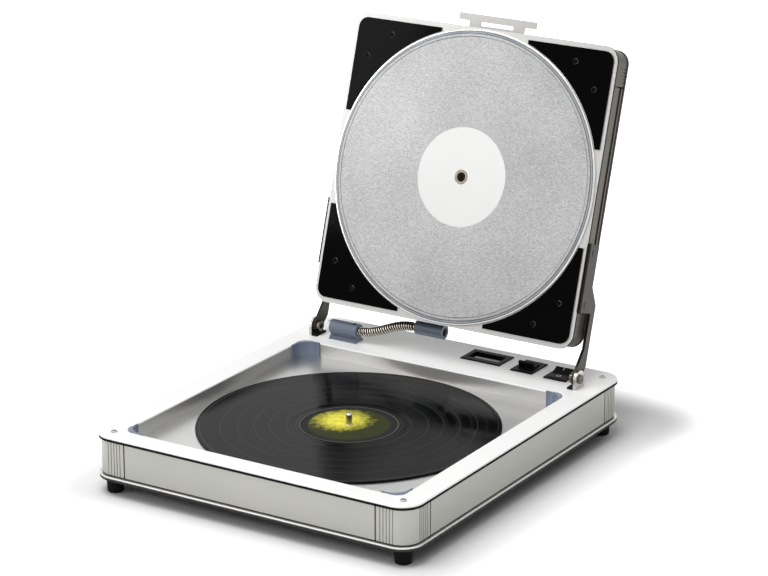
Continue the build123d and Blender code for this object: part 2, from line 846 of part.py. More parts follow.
def clamp_body(axis_height):
    """A clamp lying along X with its foot's bottom at Z 0 and its left end at X 0."""
    foot = block(0, clamp_length, -clamp_foot_width / 2, clamp_foot_width / 2,
                 0, clamp_foot_height)
    lip = block(0, clamp_length, -clamp_lip_width / 2, clamp_lip_width / 2, 0, clamp_lip_height)
    web = block(0, clamp_length, -clamp_web_width / 2, clamp_web_width / 2,
                clamp_foot_height / 2, axis_height)
    barrel = rod_x(clamp_radius, 0, clamp_length, 0, axis_height)
    body = foot + lip + web + barrel
    bore = rod_x(conduit_radius + conduit_fit, -1, clamp_length + 1, 0, axis_height)
    return body - bore


def make_base_clamp():
    """The clamp on the deck that the conduit comes out of."""
    body = clamp_body(clamp_axis_height)
    top = clamp_axis_height + clamp_radius
    notch = block(clamp_length - 2 * clamp_notch, clamp_length - clamp_notch,
                  -clamp_notch, clamp_notch, top - clamp_notch / 2, top + 1)
    return Pos(base_clamp_right_x - clamp_length, hinge_y, deck_top) * (body - notch)


def make_lid_clamp():
    """The clamp under the lid's lower edge that the conduit goes into."""
    body = Rot(90, 0, 0) * clamp_body(lid_clamp_axis_height)
    return on_lid(Pos(lid_clamp_left_x, -lid_wall_v, lid_clamp_w) * body)


def conduit_points():
    """The route of the conduit: out of one clamp, a low double bend, into the other."""
    end = on_lid(Pos(lid_clamp_left_x, lid_clamp_v, lid_clamp_w) * Sphere(0.5)).center()
    first = base_clamp_right_x + conduit_lead
    last = end.X - conduit_lead
    rise = end.Z - base_clamp_z
    drift = end.Y - hinge_y
    points = [(base_clamp_right_x - conduit_in_clamp, hinge_y, base_clamp_z)]
    for along, up in ((0.0, 0.0), (0.27, 0.20), (0.70, 0.83), (1.0, 1.0)):
        points.append((first + (last - first) * along, hinge_y + drift * up,
                       base_clamp_z + rise * up))
    points.append((end.X + conduit_in_clamp, end.Y, end.Z))
    return [Vector(*point) for point in points]


def make_conduit():
    """The steel conduit as a plain round tube of straight runs and tangent arcs."""
    points = conduit_points()
    radii = []
    for before, corner, after in zip(points, points[1:], points[2:]):
        turn = (corner - before).get_angle(after - corner)
        shorter = min((corner - before).length, (after - corner).length)
        half = radians(turn / 2)
        radii.append(0.45 * shorter / tan(half))
    print("conduit radii", [round(radius, 1) for radius in radii])
    path = FilletPolyline(*points, radius=radii)
    start = Plane(origin=points[0], z_dir=points[1] - points[0])
    tube = sweep(start * Circle(conduit_radius), path=path)
    section = Circle(conduit_radius).area
    print("conduit length", round(path.length, 2), "volume", round(tube.volume, 1),
          "section times length", round(section * path.length, 1))
    return tube


# Mains inlet and inner pieces

def make_inlet():
    """The mains inlet in the rear wall, with its three blades in the socket."""
    wall = base_depth / 2 - wall_inset
    middle = wall_z + inlet_above_wall_foot
    outer = wall + inlet_flange_thickness / 2
    flange = block(inlet_x - inlet_flange_width / 2, inlet_x + inlet_flange_width / 2,
                   outer - inlet_flange_thickness, outer,
                   middle - inlet_flange_height / 2, middle + inlet_flange_height / 2)
    body = block(inlet_x - inlet_width / 2, inlet_x + inlet_width / 2,
                 outer - inlet_depth, outer, middle - inlet_height / 2,
                 middle + inlet_height / 2)
    socket = block(inlet_x - inlet_width / 2 + 1.5, inlet_x + inlet_width / 2 - 1.5,
                   outer - inlet_depth + 2, outer + 1,
                   middle - inlet_height / 2 + 1.5, middle + inlet_height / 2 - 1.5)
    inlet = flange + body - socket
    for place, level in ((-7, -1.5), (0, 2.5), (7, -1.5)):
        inlet = inlet + block(inlet_x + place - 1, inlet_x + place + 1,
                              outer - inlet_depth + 2, outer - 4,
                              middle + level - 2, middle + level + 2)
    return inlet


def make_board():
    """The control board with its transformer, on four standoffs of one piece each."""
    z = trim_z + board_standoff_height
    board = block(board_x - board_width / 2, board_x + board_width / 2,
                  board_y - board_depth / 2, board_y + board_depth / 2,
                  z, z + board_thickness)
    for side_x in (-1, 1):
        for side_y in (-1, 1):
            x = board_x + side_x * (board_width / 2 - board_standoff_inset)
            y = board_y + side_y * (board_depth / 2 - board_standoff_inset)
            board = board + rod(board_standoff_radius, x, y, trim_z, z)
    left = board_x - board_width / 2 + transformer_inset
    return board + block(left, left + transformer_width, board_y - transformer_depth / 2,
                         board_y + transformer_depth / 2, z, z + transformer_height)


# Lid

def make_face_plate():
    """The bright plate of the lid with the round opening for the upper plate."""
    plate = sheet(lid_width, lid_height, lid_corner_radius, face_plate_thickness, face_plate_w)
    plate = plate - rod(ring_inner_radius, 0, 0, face_plate_w - 1, 0)
    for x, y in plate_screw_places():
        plate = plate - rod(plate_screw_radius + screw_clearance, x, y, face_plate_w - 1, 0)
    return plate


def make_lid_gasket():
    """The black gasket behind the face plate."""
    return frame(lid_width, lid_height, lid_corner_radius, gasket_width,
                 lid_gasket_thickness, lid_gasket_w)


def lid_wall_section(half, wall_face, thickness):
    """One straight lid wall whose outer face is at +Y, with its long groove."""
    wall = block(-half, half, wall_face - thickness, wall_face,
                 lid_wall_w, lid_wall_w + lid_wall_height)
    groove_top = lid_wall_w + lid_wall_height - lid_groove_from_front
    groove = block(-half - 1, half + 1, wall_face - lid_groove_depth, wall_face + 1,
                   groove_top - lid_groove_width, groove_top)
    return wall - groove


def make_lid_end_walls():
    """The top wall with the handle's slot, and the bottom wall."""
    half = lid_width / 2 - lid_corner_leg - seam_gap / 2
    top = lid_wall_section(half, lid_wall_v, wall_thickness)
    slot = block(-handle_neck_half_width - part_clearance, handle_neck_half_width + part_clearance,
                 lid_wall_v - wall_thickness - 1, lid_wall_v + 1,
                 -handle_depth - handle_thickness / 2 - part_clearance,
                 -handle_depth + handle_thickness / 2 + part_clearance)
    bottom = mirror(lid_wall_section(half, lid_wall_v, wall_thickness), about=Plane.XZ)
    return group([top - slot, bottom])


def make_lid_side_walls():
    """The left and right walls of the lid."""
    half = lid_height / 2 - lid_corner_leg - seam_gap / 2
    side = Rot(0, 0, -90) * lid_wall_section(half, lid_wall_x, wall_thickness)
    for v in (arm_screw_upper, arm_screw_lower):
        side = side - rod_x(screw_radius + screw_clearance, lid_wall_x - wall_thickness - 1,
                            lid_wall_x + 1, v, arm_screw_w)
    return on_both_sides(side)


def make_lid_posts():
    """The four grooved corner posts of the lid."""
    boss = lid_corner_leg / 2
    post = corner_post(lid_wall_x, lid_wall_v, lid_corner_radius - wall_inset, lid_corner_leg,
                       lid_wall_height, lid_wall_w, lid_wall_x - boss, lid_wall_v - boss / 2)
    return in_four_corners(post)


def make_lid_back():
    """The dark back plate of the lid."""
    width = lid_width - 2 * lid_back_inset
    height = lid_height - 2 * lid_back_inset
    plate = sheet(width, height, lid_corner_radius - lid_back_inset,
                  lid_back_thickness, lid_back_w)
    return chamfer(plate.edges().group_by(Axis.Z)[0], 1.0)


def plate_screw_places():
    """Where the eight small screws of the corner plates are."""
    near = plate_screw_near
    far = plate_screw_far
    places = []
    for side_x in (-1, 1):
        for side_y in (-1, 1):
            places.append((side_x * near, side_y * far))
            places.append((side_x * far, side_y * near))
    return places


def make_corner_plates():
    """The black corner plates, cut back around the ring."""
    z = -face_plate_setback
    plate = sheet(2 * corner_plate_half_width, 2 * corner_plate_half_height,
                  corner_plate_radius, corner_plate_thickness, z)
    plate = plate - rod(corner_plate_arc_radius, 0, 0, z - 1, z + corner_plate_thickness + 1)
    inner_x = corner_plate_half_width - corner_plate_leg
    inner_y = corner_plate_half_height - corner_plate_leg
    quarter = plate & block(inner_x, lid_width, inner_y, lid_height,
                            z - 1, z + corner_plate_thickness + 1)
    for place in (near_x_tip, near_y_tip):
        quarter = place(quarter)
    for x, y in plate_screw_places():
        quarter = quarter - rod(plate_screw_radius + screw_clearance, x, y, z - 1, z + 3)
    return in_four_corners(quarter)


def near_x_tip(quarter):
    """Rounds the tip of a corner plate that points along X."""
    tips = quarter.edges().filter_by(Axis.Z).group_by(Axis.X)[0]
    return fillet(tips, corner_plate_end_round)


def near_y_tip(quarter):
    """Rounds the tip of a corner plate that points along Y."""
    tips = quarter.edges().filter_by(Axis.Z).group_by(Axis.Y)[0]
    return fillet(tips, corner_plate_end_round)


def make_plate_screws():
    """The eight small screws of the corner plates."""
    z = -face_plate_setback + corner_plate_thickness
    screws = []
    for x, y in plate_screw_places():
        screws.append(screw(x, y, z, plate_screw_head_radius, plate_screw_head_height,
                            plate_screw_radius, plate_screw_length))
    return group(screws)


def make_ring():
    """The bright bead ring around the upper plate."""
    ring = rod(ring_outer_radius, 0, 0, -face_plate_setback, -face_plate_setback + ring_proud)
    ring = fillet(ring.edges().group_by(Axis.Z)[-1], 0.8)
    return ring - rod(ring_inner_radius, 0, 0, -face_plate_setback - 1, 1)


def make_upper_platen():
    """The upper heated plate with a rear flange and a pocket for the centre disc."""
    plate = rod(upper_platen_radius, 0, 0, -upper_platen_thickness, 0)
    plate = chamfer(plate.edges().group_by(Axis.Z)[-1], 0.5)
    flange = rod(upper_platen_radius + upper_platen_flange, 0, 0, -upper_platen_thickness,
                 -upper_platen_thickness + upper_platen_flange_thickness)
    pocket = rod(centre_disc_radius + part_clearance, 0, 0, -centre_disc_recess, 1)
    bore = rod(eyelet_tube_radius + part_clearance, 0, 0, -upper_platen_thickness - 1, 1)
    return plate + flange - pocket - bore


def make_band():
    """The silicone band that seals the edge of the upper plate."""
    step = -upper_platen_thickness + upper_platen_flange_thickness + part_clearance
    band = rod(band_outer_radius, 0, 0, step, -band_recess)
    return band - rod(upper_platen_radius + part_clearance, 0, 0, step - 1, 1)


def make_centre_disc():
    """The white disc over the record's label."""
    disc = rod(centre_disc_radius, 0, 0, -centre_disc_recess,
               -centre_disc_recess + centre_disc_thickness)
    return disc - rod(eyelet_radius + part_clearance, 0, 0, -1, 1)


def make_eyelet():
    """The metal eyelet that the spindle goes into."""
    flange = rod(eyelet_radius, 0, 0, -centre_disc_recess,
                 -centre_disc_recess + eyelet_flange_thickness)
    tube = rod(eyelet_tube_radius, 0, 0, -centre_disc_recess - eyelet_length,
               -centre_disc_recess)
    return flange + tube - rod(eyelet_hole_radius, 0, 0, -eyelet_length - 2, 1)


def guide_places():
    """Where the guide pins of the upper plate are."""
    return PolarLocations(guide_pin_circle, guide_pin_count, start_angle=45)


def make_upper_heater():
    """The heater mat behind the upper plate."""
    radius = upper_platen_radius - upper_heater_border
    mat = rod(radius, 0, 0, heater_top_w - heater_thickness, heater_top_w)
    mat = mat - rod(eyelet_tube_radius + 1, 0, 0, heater_top_w - heater_thickness - 1, 1)
    for place in guide_places():
        mat = mat - place * rod(guide_pin_radius + hinge_side_gap, 0, 0,
                                heater_top_w - heater_thickness - 1, 1)
    return mat


def make_guide_pins():
    """The headed pins that the upper plate slides back on."""
    pins = []
    for place in guide_places():
        pin = rod(guide_pin_radius, 0, 0, carrier_w, heater_top_w)
        head = rod(guide_pin_head_radius, 0, 0, carrier_w - guide_pin_head_height, carrier_w)
        pins.append(place * (pin + head))
    return group(pins)


def make_carrier():
    """The inner plate of the lid that carries the guide pins."""
    width = 2 * (lid_wall_x - wall_thickness - tongue_thickness - part_clearance)
    height = 2 * (lid_wall_v - wall_thickness - tongue_thickness - part_clearance)
    plate = sheet(width, height, carrier_corner_radius, carrier_thickness, carrier_w)
    for place in guide_places():
        plate = plate - place * rod(guide_pin_radius + guide_fit, 0, 0, carrier_w - 1, 0)
    return plate


def make_arm():
    """The right lid arm: a pad on the lid's side, a neck and an eye on the hinge."""
    eye_v = -hinge_to_lid_centre
    eye_w = -hinge_behind_face
    slope_back = arm_pad_back - 1
    outline = Polyline([
        (arm_pad_top, arm_pad_front), (arm_pad_foot, arm_pad_front),
        (arm_pad_foot, arm_neck_front), (arm_neck_foot, arm_neck_front),
        (eye_v + arm_eye_radius * 0.5, eye_w + arm_eye_radius * 0.87),
        (eye_v, eye_w), (eye_v - arm_eye_radius * 0.87, eye_w - arm_eye_radius * 0.5),
        (arm_heel, arm_back), (arm_slope_foot, arm_back), (arm_slope_top, arm_pad_back),
        (arm_pad_top, arm_pad_back)], close=True)
    plate = make_face(outline) + Pos(eye_v, eye_w) * Circle(arm_eye_radius)
    arm = Pos(arm_inner_x, 0, 0) * extrude(Plane.YZ * plate, arm_thickness)
    arm = arm - rod_x(hinge_bolt_radius + hinge_fit, arm_inner_x - 1, arm_outer_x + 1,
                      eye_v, eye_w)
    for v in (arm_screw_upper, arm_screw_lower):
        arm = arm - rod_x(screw_radius + screw_clearance, arm_inner_x - 1, arm_outer_x + 1,
                          v, arm_screw_w)
        arm = arm - arm_screw_head(v, screw_clearance)
    return arm


def arm_screw_head(v, clearance):
    """The countersunk head of an arm screw, or with a clearance its seat."""
    height = arm_screw_head_radius - screw_radius
    cone = Cone(screw_radius + clearance, arm_screw_head_radius + clearance, height)
    return Pos(arm_outer_x - height / 2, v, arm_screw_w) * Rot(0, 90, 0) * cone


def make_arm_screws():
    """The countersunk screws that hold the arms to the lid's sides."""
    screws = []
    for v in (arm_screw_upper, arm_screw_lower):
        cap = rod_x(arm_screw_head_radius, arm_outer_x, arm_outer_x + arm_screw_proud,
                    v, arm_screw_w)
        shank = rod_x(screw_radius, lid_wall_x - wall_thickness, arm_outer_x - 0.5,
                      v, arm_screw_w)
        screws.append(arm_screw_head(v, 0.0) + cap + shank)
    return on_both_sides(group(screws))


def make_arm_spacers():
    """The round spacers between the arms and the lid's side walls."""
    spacers = []
    for v in (arm_screw_upper, arm_screw_lower):
        tube = rod_x(arm_spacer_radius, lid_wall_x, arm_inner_x, v, arm_screw_w)
        spacers.append(tube - rod_x(screw_radius + screw_clearance, lid_wall_x - 1,
                                    arm_inner_x + 1, v, arm_screw_w))
    return on_both_sides(group(spacers))


def make_handle():
    """The flat T-shaped grip at the top of the lid with its finger slot."""
    neck = Pos(0, (lid_wall_v - handle_inside + handle_top) / 2) * Rectangle(
        2 * handle_neck_half_width, handle_top - lid_wall_v + handle_inside)
    bar = Pos(0, (handle_bar_bottom + handle_top) / 2) * RectangleRounded(
        2 * handle_half_width, handle_top - handle_bar_bottom, 1.0)
    slot = Pos(0, handle_slot_centre) * RectangleRounded(
        2 * handle_slot_half_length, handle_slot_height, handle_slot_height * 0.4)
    plate = extrude(neck + bar - slot, handle_thickness)
    return Pos(0, 0, -handle_depth - handle_thickness / 2) * plate


def all_nodes():
    """Every node of the model by its name."""
    deck_screw = screw(fixing_x, fixing_y, deck_top, screw_head_radius, screw_head_height,
                       screw_radius, screw_length)
    arm = make_arm()
    wall_outline_x = base_width - 2 * wall_inset - 1.6
    wall_outline_y = base_depth - 2 * wall_inset - 1.6
    nodes = {
        "base_feet": in_four_corners(make_foot()),
        "foot_studs": in_four_corners(make_stud()),
        "bottom_plate": make_bottom_plate(),
        "base_trim": frame(base_width, base_depth, base_corner_radius, trim_width,
                           trim_thickness, trim_z),
        "lower_gasket": frame(wall_outline_x, wall_outline_y,
                              base_corner_radius - wall_inset - 0.8, 5.0,
                              lower_gasket_thickness, lower_gasket_z),
        "wall_front": make_front_wall(),
        "wall_rear": make_rear_wall(),
        "wall_sides": make_side_walls(),
        "base_corner_posts": make_base_posts(),
        "deck_gasket": frame(base_width, base_depth, base_corner_radius, gasket_width,
                             deck_gasket_thickness, deck_gasket_z),
        "deck_plate": make_deck(),
        "deck_screws": in_four_corners(deck_screw),
        "well_liner": make_well_liner(),
        "well_corner_inserts": make_well_inserts(),
        "lower_platen": make_lower_platen(),
        "lower_heater_mat": make_lower_layer(heater_thickness, heater_z),
        "lower_insulation": make_lower_layer(insulation_thickness, insulation_z),
        "platen_posts": make_platen_posts(),
        "spindle": make_spindle(),
        "spindle_nut": make_spindle_nut(),
        "record_disc": make_record(),
        "record_label": make_label(),
        "display_bezel": make_display_bezel(),
        "display_lens": make_display_lens(),
        "display_module": make_display_module(),
        "paddle_housing": make_paddle_housing(),
        "mode_paddle": make_paddle(),
        "rocker_housing": make_rocker_housing(),
        "power_rocker": make_rocker(),
        "hinge_brackets": on_both_sides(make_hinge_bracket()),
        "hinge_pads": on_both_sides(make_hinge_pad()),
        "hinge_bolts": on_both_sides(make_hinge_bolt()),
        "hinge_nuts": on_both_sides(make_hinge_nut()),
        "base_conduit_clamp": make_base_clamp(),
        "lid_conduit_clamp": make_lid_clamp(),
        "conduit": make_conduit(),
        "mains_inlet": make_inlet(),
        "control_board": make_board(),
        "lid_face_plate": on_lid(make_face_plate()),
        "lid_gasket": on_lid(make_lid_gasket()),
        "lid_end_walls": on_lid(make_lid_end_walls()),
        "lid_side_walls": on_lid(make_lid_side_walls()),
        "lid_corner_posts": on_lid(make_lid_posts()),
        "lid_back_plate": on_lid(make_lid_back()),
        "lid_corner_plates": on_lid(make_corner_plates()),
        "corner_plate_screws": on_lid(make_plate_screws()),
        "platen_ring": on_lid(make_ring()),
        "lid_carrier": on_lid(make_carrier()),
        "upper_platen": on_lid(make_upper_platen()),
        "silicone_band": on_lid(make_band()),
        "centre_disc": on_lid(make_centre_disc()),
        "spindle_eyelet": on_lid(make_eyelet()),
        "upper_heater_mat": on_lid(make_upper_heater()),
        "guide_pins": on_lid(make_guide_pins()),
        "arm_right": on_lid(arm),
        "arm_left": on_lid(mirror(arm, about=Plane.YZ)),
        "arm_spacers": on_lid(make_arm_spacers()),
        "arm_screws": on_lid(make_arm_screws()),
        "lid_handle": on_lid(make_handle()),
    }
    return nodes


def main():
    """Builds every node, centres the model along Y and writes the STEP files."""
    os.makedirs("parts", exist_ok=True)
    nodes = all_nodes()
    boxes = [node.bounding_box() for node in nodes.values()]
    front = min(box.min.Y for box in boxes)
    back = max(box.max.Y for box in boxes)
    shift = Pos(0, -(front + back) / 2, 0)
    for name, node in nodes.items():
        export_step(shift * node, "parts/" + name + ".step")
    print("moved along Y by", round(-(front + back) / 2, 4))
    print("nodes", len(nodes))


if __name__ == "__main__":
    main()
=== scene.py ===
from math import cos, radians, sin, tau

import bmesh
import bpy
from mathutils import Matrix, Vector


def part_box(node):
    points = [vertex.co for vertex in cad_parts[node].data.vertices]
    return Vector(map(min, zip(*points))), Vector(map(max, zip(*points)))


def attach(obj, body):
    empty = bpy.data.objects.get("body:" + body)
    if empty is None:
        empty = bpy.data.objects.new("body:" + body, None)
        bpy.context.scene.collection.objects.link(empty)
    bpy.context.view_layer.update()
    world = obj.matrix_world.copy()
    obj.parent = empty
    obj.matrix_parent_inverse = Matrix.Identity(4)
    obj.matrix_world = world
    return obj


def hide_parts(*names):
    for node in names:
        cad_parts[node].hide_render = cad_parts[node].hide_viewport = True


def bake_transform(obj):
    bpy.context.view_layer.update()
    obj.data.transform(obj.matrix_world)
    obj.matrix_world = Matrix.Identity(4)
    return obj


# A record flattener: a low aluminium case with a heated well for a 12 inch record, and a
# heated lid that stands open. The CAD nodes carry the shapes, and this file gives them
# their finishes, the interlocked steel conduit, the marks on the switch and the studio.

bl_info = {
    "name": "Record flattener finish",
    "version": (1, 0, 0),
    "blender": (4, 5, 0),
    "location": "3D View > Sidebar > Flattener",
    "description": "Dresses the packed record flattener and sets up its studio",
    "category": "Object",
}

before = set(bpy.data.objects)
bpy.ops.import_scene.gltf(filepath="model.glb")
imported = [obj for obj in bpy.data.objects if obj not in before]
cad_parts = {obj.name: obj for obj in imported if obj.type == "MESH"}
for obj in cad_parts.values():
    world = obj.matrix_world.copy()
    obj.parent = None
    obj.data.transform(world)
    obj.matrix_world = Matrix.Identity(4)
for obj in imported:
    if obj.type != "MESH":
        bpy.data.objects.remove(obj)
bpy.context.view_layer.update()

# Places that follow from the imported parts, in metres
record_low, record_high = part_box("record_disc")
spindle_x = (record_low.x + record_high.x) / 2
spindle_y = (record_low.y + record_high.y) / 2
record_top = record_high.z
disc_low, disc_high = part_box("centre_disc")
disc_centre = (disc_low + disc_high) / 2
lid_turn = radians(72.65)
rocker_low, rocker_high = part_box("power_rocker")


def linear(code):
    """A colour written as a six-figure sRGB code, as the linear values that shaders take."""
    values = []
    for start in (0, 2, 4):
        part = int(code[start:start + 2], 16) / 255
        values.append(part / 12.92 if part <= 0.04045 else ((part + 0.055) / 1.055) ** 2.4)
    return (*values, 1.0)


def colour_setting(name, description, code):
    """A colour that the user can change, its default given as an sRGB code."""
    return bpy.props.FloatVectorProperty(name=name, description=description, subtype="COLOR",
                                         size=4, min=0.0, max=1.0, default=linear(code))


def length_setting(name, description, millimetres):
    """A length that the user can change, its default given in millimetres."""
    return bpy.props.FloatProperty(name=name, description=description, subtype="DISTANCE",
                                   unit="LENGTH", min=0.0, default=millimetres / 1000)


class CaseFinish(bpy.types.PropertyGroup):
    """Colours of the case and the lid's shell."""
    deck: colour_setting("Deck", "Satin anodised deck plate", "F9F9F8")
    panel: colour_setting("Panels", "Anodised wall panels of the base", "ABABA5")
    lid_shell: colour_setting("Lid shell", "Dark anodised walls of the lid", "57524C")
    trim: colour_setting("Trim", "Bright edge of the case", "DEDDDA")
    rubber: colour_setting("Rubber", "Feet and gaskets", "0B0B0D")
    grain: length_setting("Grain", "Spacing of the anodised grain", 0.8)


class PressFinish(bpy.types.PropertyGroup):
    """Colours of the parts that press the record."""
    platen: colour_setting("Heated plate", "Aluminium of the upper heated plate", "A2A2A2")
    mirror: colour_setting("Well floor", "Polished lower heated plate", "D9D9D8")
    # the band's colour shows at full only in the painted highlight along its crest
    band: colour_setting("Silicone band", "Pale band round the upper plate", "B4BAC0")
    disc: colour_setting("Centre disc", "White disc over the label", "F6F6F5")
    flake: length_setting("Flake", "Size of the plate's speckle", 0.95)


class RecordFinish(bpy.types.PropertyGroup):
    """Colours and sizes of the record."""
    vinyl: colour_setting("Vinyl", "The black record", "060607")
    label: colour_setting("Label", "Plain paper label", "F8EE5A")
    label_shade: colour_setting("Label shade", "Greener shade of the label", "262B07")
    groove: length_setting("Groove pitch", "Spacing of the drawn grooves", 0.9)


class HoseFinish(bpy.types.PropertyGroup):
    """Sizes and colours of the steel conduit and its clamps."""
    radius: length_setting("Radius", "Outer radius of the conduit", 5.1)
    pitch: length_setting("Pitch", "Length of one turn of the steel strip", 2.75)
    rib: length_setting("Rib", "Depth of the valley between two turns", 1.3)
    steel: colour_setting("Steel", "Interlocked steel strip", "E8E1D5")
    clamp: colour_setting("Clamps", "Slate plastic of clamps and corner inserts", "6E7989")


class StudioSettings(bpy.types.PropertyGroup):
    """The camera's lens and the level of the light."""
    lens: bpy.props.FloatProperty(name="Lens", description="Focal length in millimetres",
                                  default=139.06, min=20.0, max=400.0)
    key_power: bpy.props.FloatProperty(name="Key light", description="Power in watts",
                                       subtype="POWER", default=34.0, min=0.0)
    fill_level: bpy.props.FloatProperty(name="Fill", description="Brightness of the surroundings",
                                        subtype="FACTOR", default=0.2, min=0.0, max=2.0)


# Materials. Every pattern is measured in millimetres in the object's own space.

def add(tree, kind, settings=None, inputs=None):
    """Adds a node: settings go on the node, inputs are numbers or the sockets to link."""
    made = tree.nodes.new(kind)
    for name, value in (settings or {}).items():
        setattr(made, name, value)
    for name, value in (inputs or {}).items():
        if isinstance(value, bpy.types.NodeSocket):
            tree.links.new(value, made.inputs[name])
        else:
            made.inputs[name].default_value = value
    return made


def start_material(name, place=(0, 0, 0), turn=(0, 0, 0)):
    """A material with its shader, and coordinates in millimetres from place, turned by turn."""
    material = bpy.data.materials.new(name)
    material.use_nodes = True
    tree = material.node_tree
    tree.nodes.clear()
    shader = add(tree, "ShaderNodeBsdfPrincipled")
    add(tree, "ShaderNodeOutputMaterial", {}, {"Surface": shader.outputs["BSDF"]})
    where = add(tree, "ShaderNodeTexCoord")
    scaled = add(tree, "ShaderNodeMapping", {"vector_type": "TEXTURE"}, {
        "Vector": where.outputs["Object"], "Location": place, "Rotation": turn,
        "Scale": (0.001, 0.001, 0.001)})
    return material, tree, shader, scaled.outputs["Vector"]


def wire(tree, source, shader, name):
    """Links a socket to one input of the shader."""
    tree.links.new(source, shader.inputs[name])


def shaded(colour, share):
    """A colour times a share, kept below white."""
    return [min(part * share, 1.0) for part in colour[:3]] + [1.0]


def around_axis(tree, mm):
    """The place across the material's own axis and its distance from it, in millimetres."""
    flat = add(tree, "ShaderNodeVectorMath", {"operation": "MULTIPLY"}, {
        0: mm, 1: (1.0, 1.0, 0.0)})
    radius = add(tree, "ShaderNodeVectorMath", {"operation": "LENGTH"}, {0: flat.outputs[0]})
    return flat.outputs[0], radius.outputs["Value"]


def seen_directly(tree):
    """1 for what the camera sees itself or by gloss or glass, and 0 for soft light."""
    path = add(tree, "ShaderNodeLightPath")
    seen = add(tree, "ShaderNodeMath", {"operation": "MAXIMUM"}, {
        0: path.outputs["Is Camera Ray"], 1: path.outputs["Is Glossy Ray"]})
    shown = add(tree, "ShaderNodeMath", {"operation": "MAXIMUM"}, {
        0: seen.outputs[0], 1: path.outputs["Is Transmission Ray"]})
    return shown.outputs[0]


def anodised(name, colour, grain_mm, stretch, metallic, roughness, shade):
    """Anodised aluminium: an even satin skin whose fine grain is drawn out by stretch."""
    material, tree, shader, mm = start_material(name)
    grain = add(tree, "ShaderNodeMapping", {}, {"Vector": mm, "Scale": stretch})
    fine = add(tree, "ShaderNodeTexNoise", {}, {"Vector": grain.outputs[0],
                                               "Scale": 1 / grain_mm, "Detail": 3.0})
    cloud = add(tree, "ShaderNodeTexNoise", {}, {"Vector": mm, "Scale": 1 / 70, "Detail": 2.0})
    both = add(tree, "ShaderNodeMath", {"operation": "ADD"}, {
        0: fine.outputs[0], 1: cloud.outputs[0]})
    amount = add(tree, "ShaderNodeMapRange", {}, {"Value": both.outputs[0], "From Min": 0.6,
                                                 "From Max": 1.4})
    darker = shaded(colour, 1 - shade)
    paint = add(tree, "ShaderNodeMix", {"data_type": "RGBA"}, {
        0: amount.outputs[0], 6: darker, 7: colour})
    rough = add(tree, "ShaderNodeMapRange", {}, {
        "Value": fine.outputs[0], "To Min": roughness - 0.05, "To Max": roughness + 0.05})
    relief = add(tree, "ShaderNodeBump", {}, {"Strength": 0.05, "Distance": 0.0002,
                                             "Height": fine.outputs[0]})
    wire(tree, paint.outputs[2], shader, "Base Color")
    wire(tree, rough.outputs[0], shader, "Roughness")
    wire(tree, relief.outputs[0], shader, "Normal")
    shader.inputs["Metallic"].default_value = metallic
    return material


def moulded(name, colour, grain_mm, roughness, specular, shade=0.25, bump=0.15):
    """Moulded or coated plastic and rubber: a fine matt texture with slight clouding."""
    material, tree, shader, mm = start_material(name)
    pits = add(tree, "ShaderNodeTexNoise", {}, {"Vector": mm, "Scale": 1 / grain_mm,
                                               "Detail": 4.0})
    cloud = add(tree, "ShaderNodeTexNoise", {}, {"Vector": mm, "Scale": 1 / 18, "Detail": 2.0})
    darker = shaded(colour, 1 - shade)
    paint = add(tree, "ShaderNodeMix", {"data_type": "RGBA"}, {
        0: cloud.outputs[0], 6: darker, 7: colour})
    rough = add(tree, "ShaderNodeMapRange", {}, {
        "Value": pits.outputs[0], "To Min": max(roughness - 0.08, 0.02),
        "To Max": roughness + 0.08})
    relief = add(tree, "ShaderNodeBump", {}, {"Strength": bump, "Distance": 0.0001,
                                             "Height": pits.outputs[0]})
    wire(tree, paint.outputs[2], shader, "Base Color")
    wire(tree, rough.outputs[0], shader, "Roughness")
    wire(tree, relief.outputs[0], shader, "Normal")
    shader.inputs["Specular IOR Level"].default_value = specular
    return material


def turned_metal(name, colour, roughness):
    """Turned or plated metal: clean and bright, with faint uneven marks."""
    material, tree, shader, mm = start_material(name)
    marks = add(tree, "ShaderNodeTexNoise", {}, {"Vector": mm, "Scale": 1 / 0.5,
                                                "Detail": 2.0})
    darker = shaded(colour, 0.85)
    paint = add(tree, "ShaderNodeMix", {"data_type": "RGBA"}, {
        0: marks.outputs[0], 6: darker, 7: colour})
    rough = add(tree, "ShaderNodeMapRange", {}, {
        "Value": marks.outputs[0], "To Min": max(roughness - 0.06, 0.03),
        "To Max": roughness + 0.06})
    wire(tree, paint.outputs[2], shader, "Base Color")
    wire(tree, rough.outputs[0], shader, "Roughness")
    shader.inputs["Metallic"].default_value = 1.0
    return material


def screw_with_painted_rim_highlight(rim, middle):
    """Blackened steel screw: a dark head with a painted highlight, a lighter colour on its rounded
    rim.
    """
    material, tree, shader, mm = start_material("blackened_steel_screw")
    where = add(tree, "ShaderNodeTexCoord")
    # painted highlight: where the head's surface turns away from the lid's face, at its rounded
    # rim, it takes the lighter rim colour
    facing = add(tree, "ShaderNodeVectorMath", {"operation": "DOT_PRODUCT"}, {
        0: where.outputs["Normal"], 1: (0.0, -sin(lid_turn), cos(lid_turn))})
    edge = add(tree, "ShaderNodeMapRange", {}, {
        "Value": facing.outputs["Value"], "From Min": 0.98, "From Max": 0.8})
    marks = add(tree, "ShaderNodeTexNoise", {}, {"Vector": mm, "Scale": 1 / 0.7, "Detail": 2.0})
    amount = add(tree, "ShaderNodeMath", {"operation": "MULTIPLY"}, {
        0: edge.outputs[0], 1: marks.outputs[0]})
    paint = add(tree, "ShaderNodeMix", {"data_type": "RGBA"}, {
        0: amount.outputs[0], 6: middle, 7: rim})
    wire(tree, paint.outputs[2], shader, "Base Color")
    shader.inputs["Metallic"].default_value = 1.0
    shader.inputs["Roughness"].default_value = 0.35
    return material


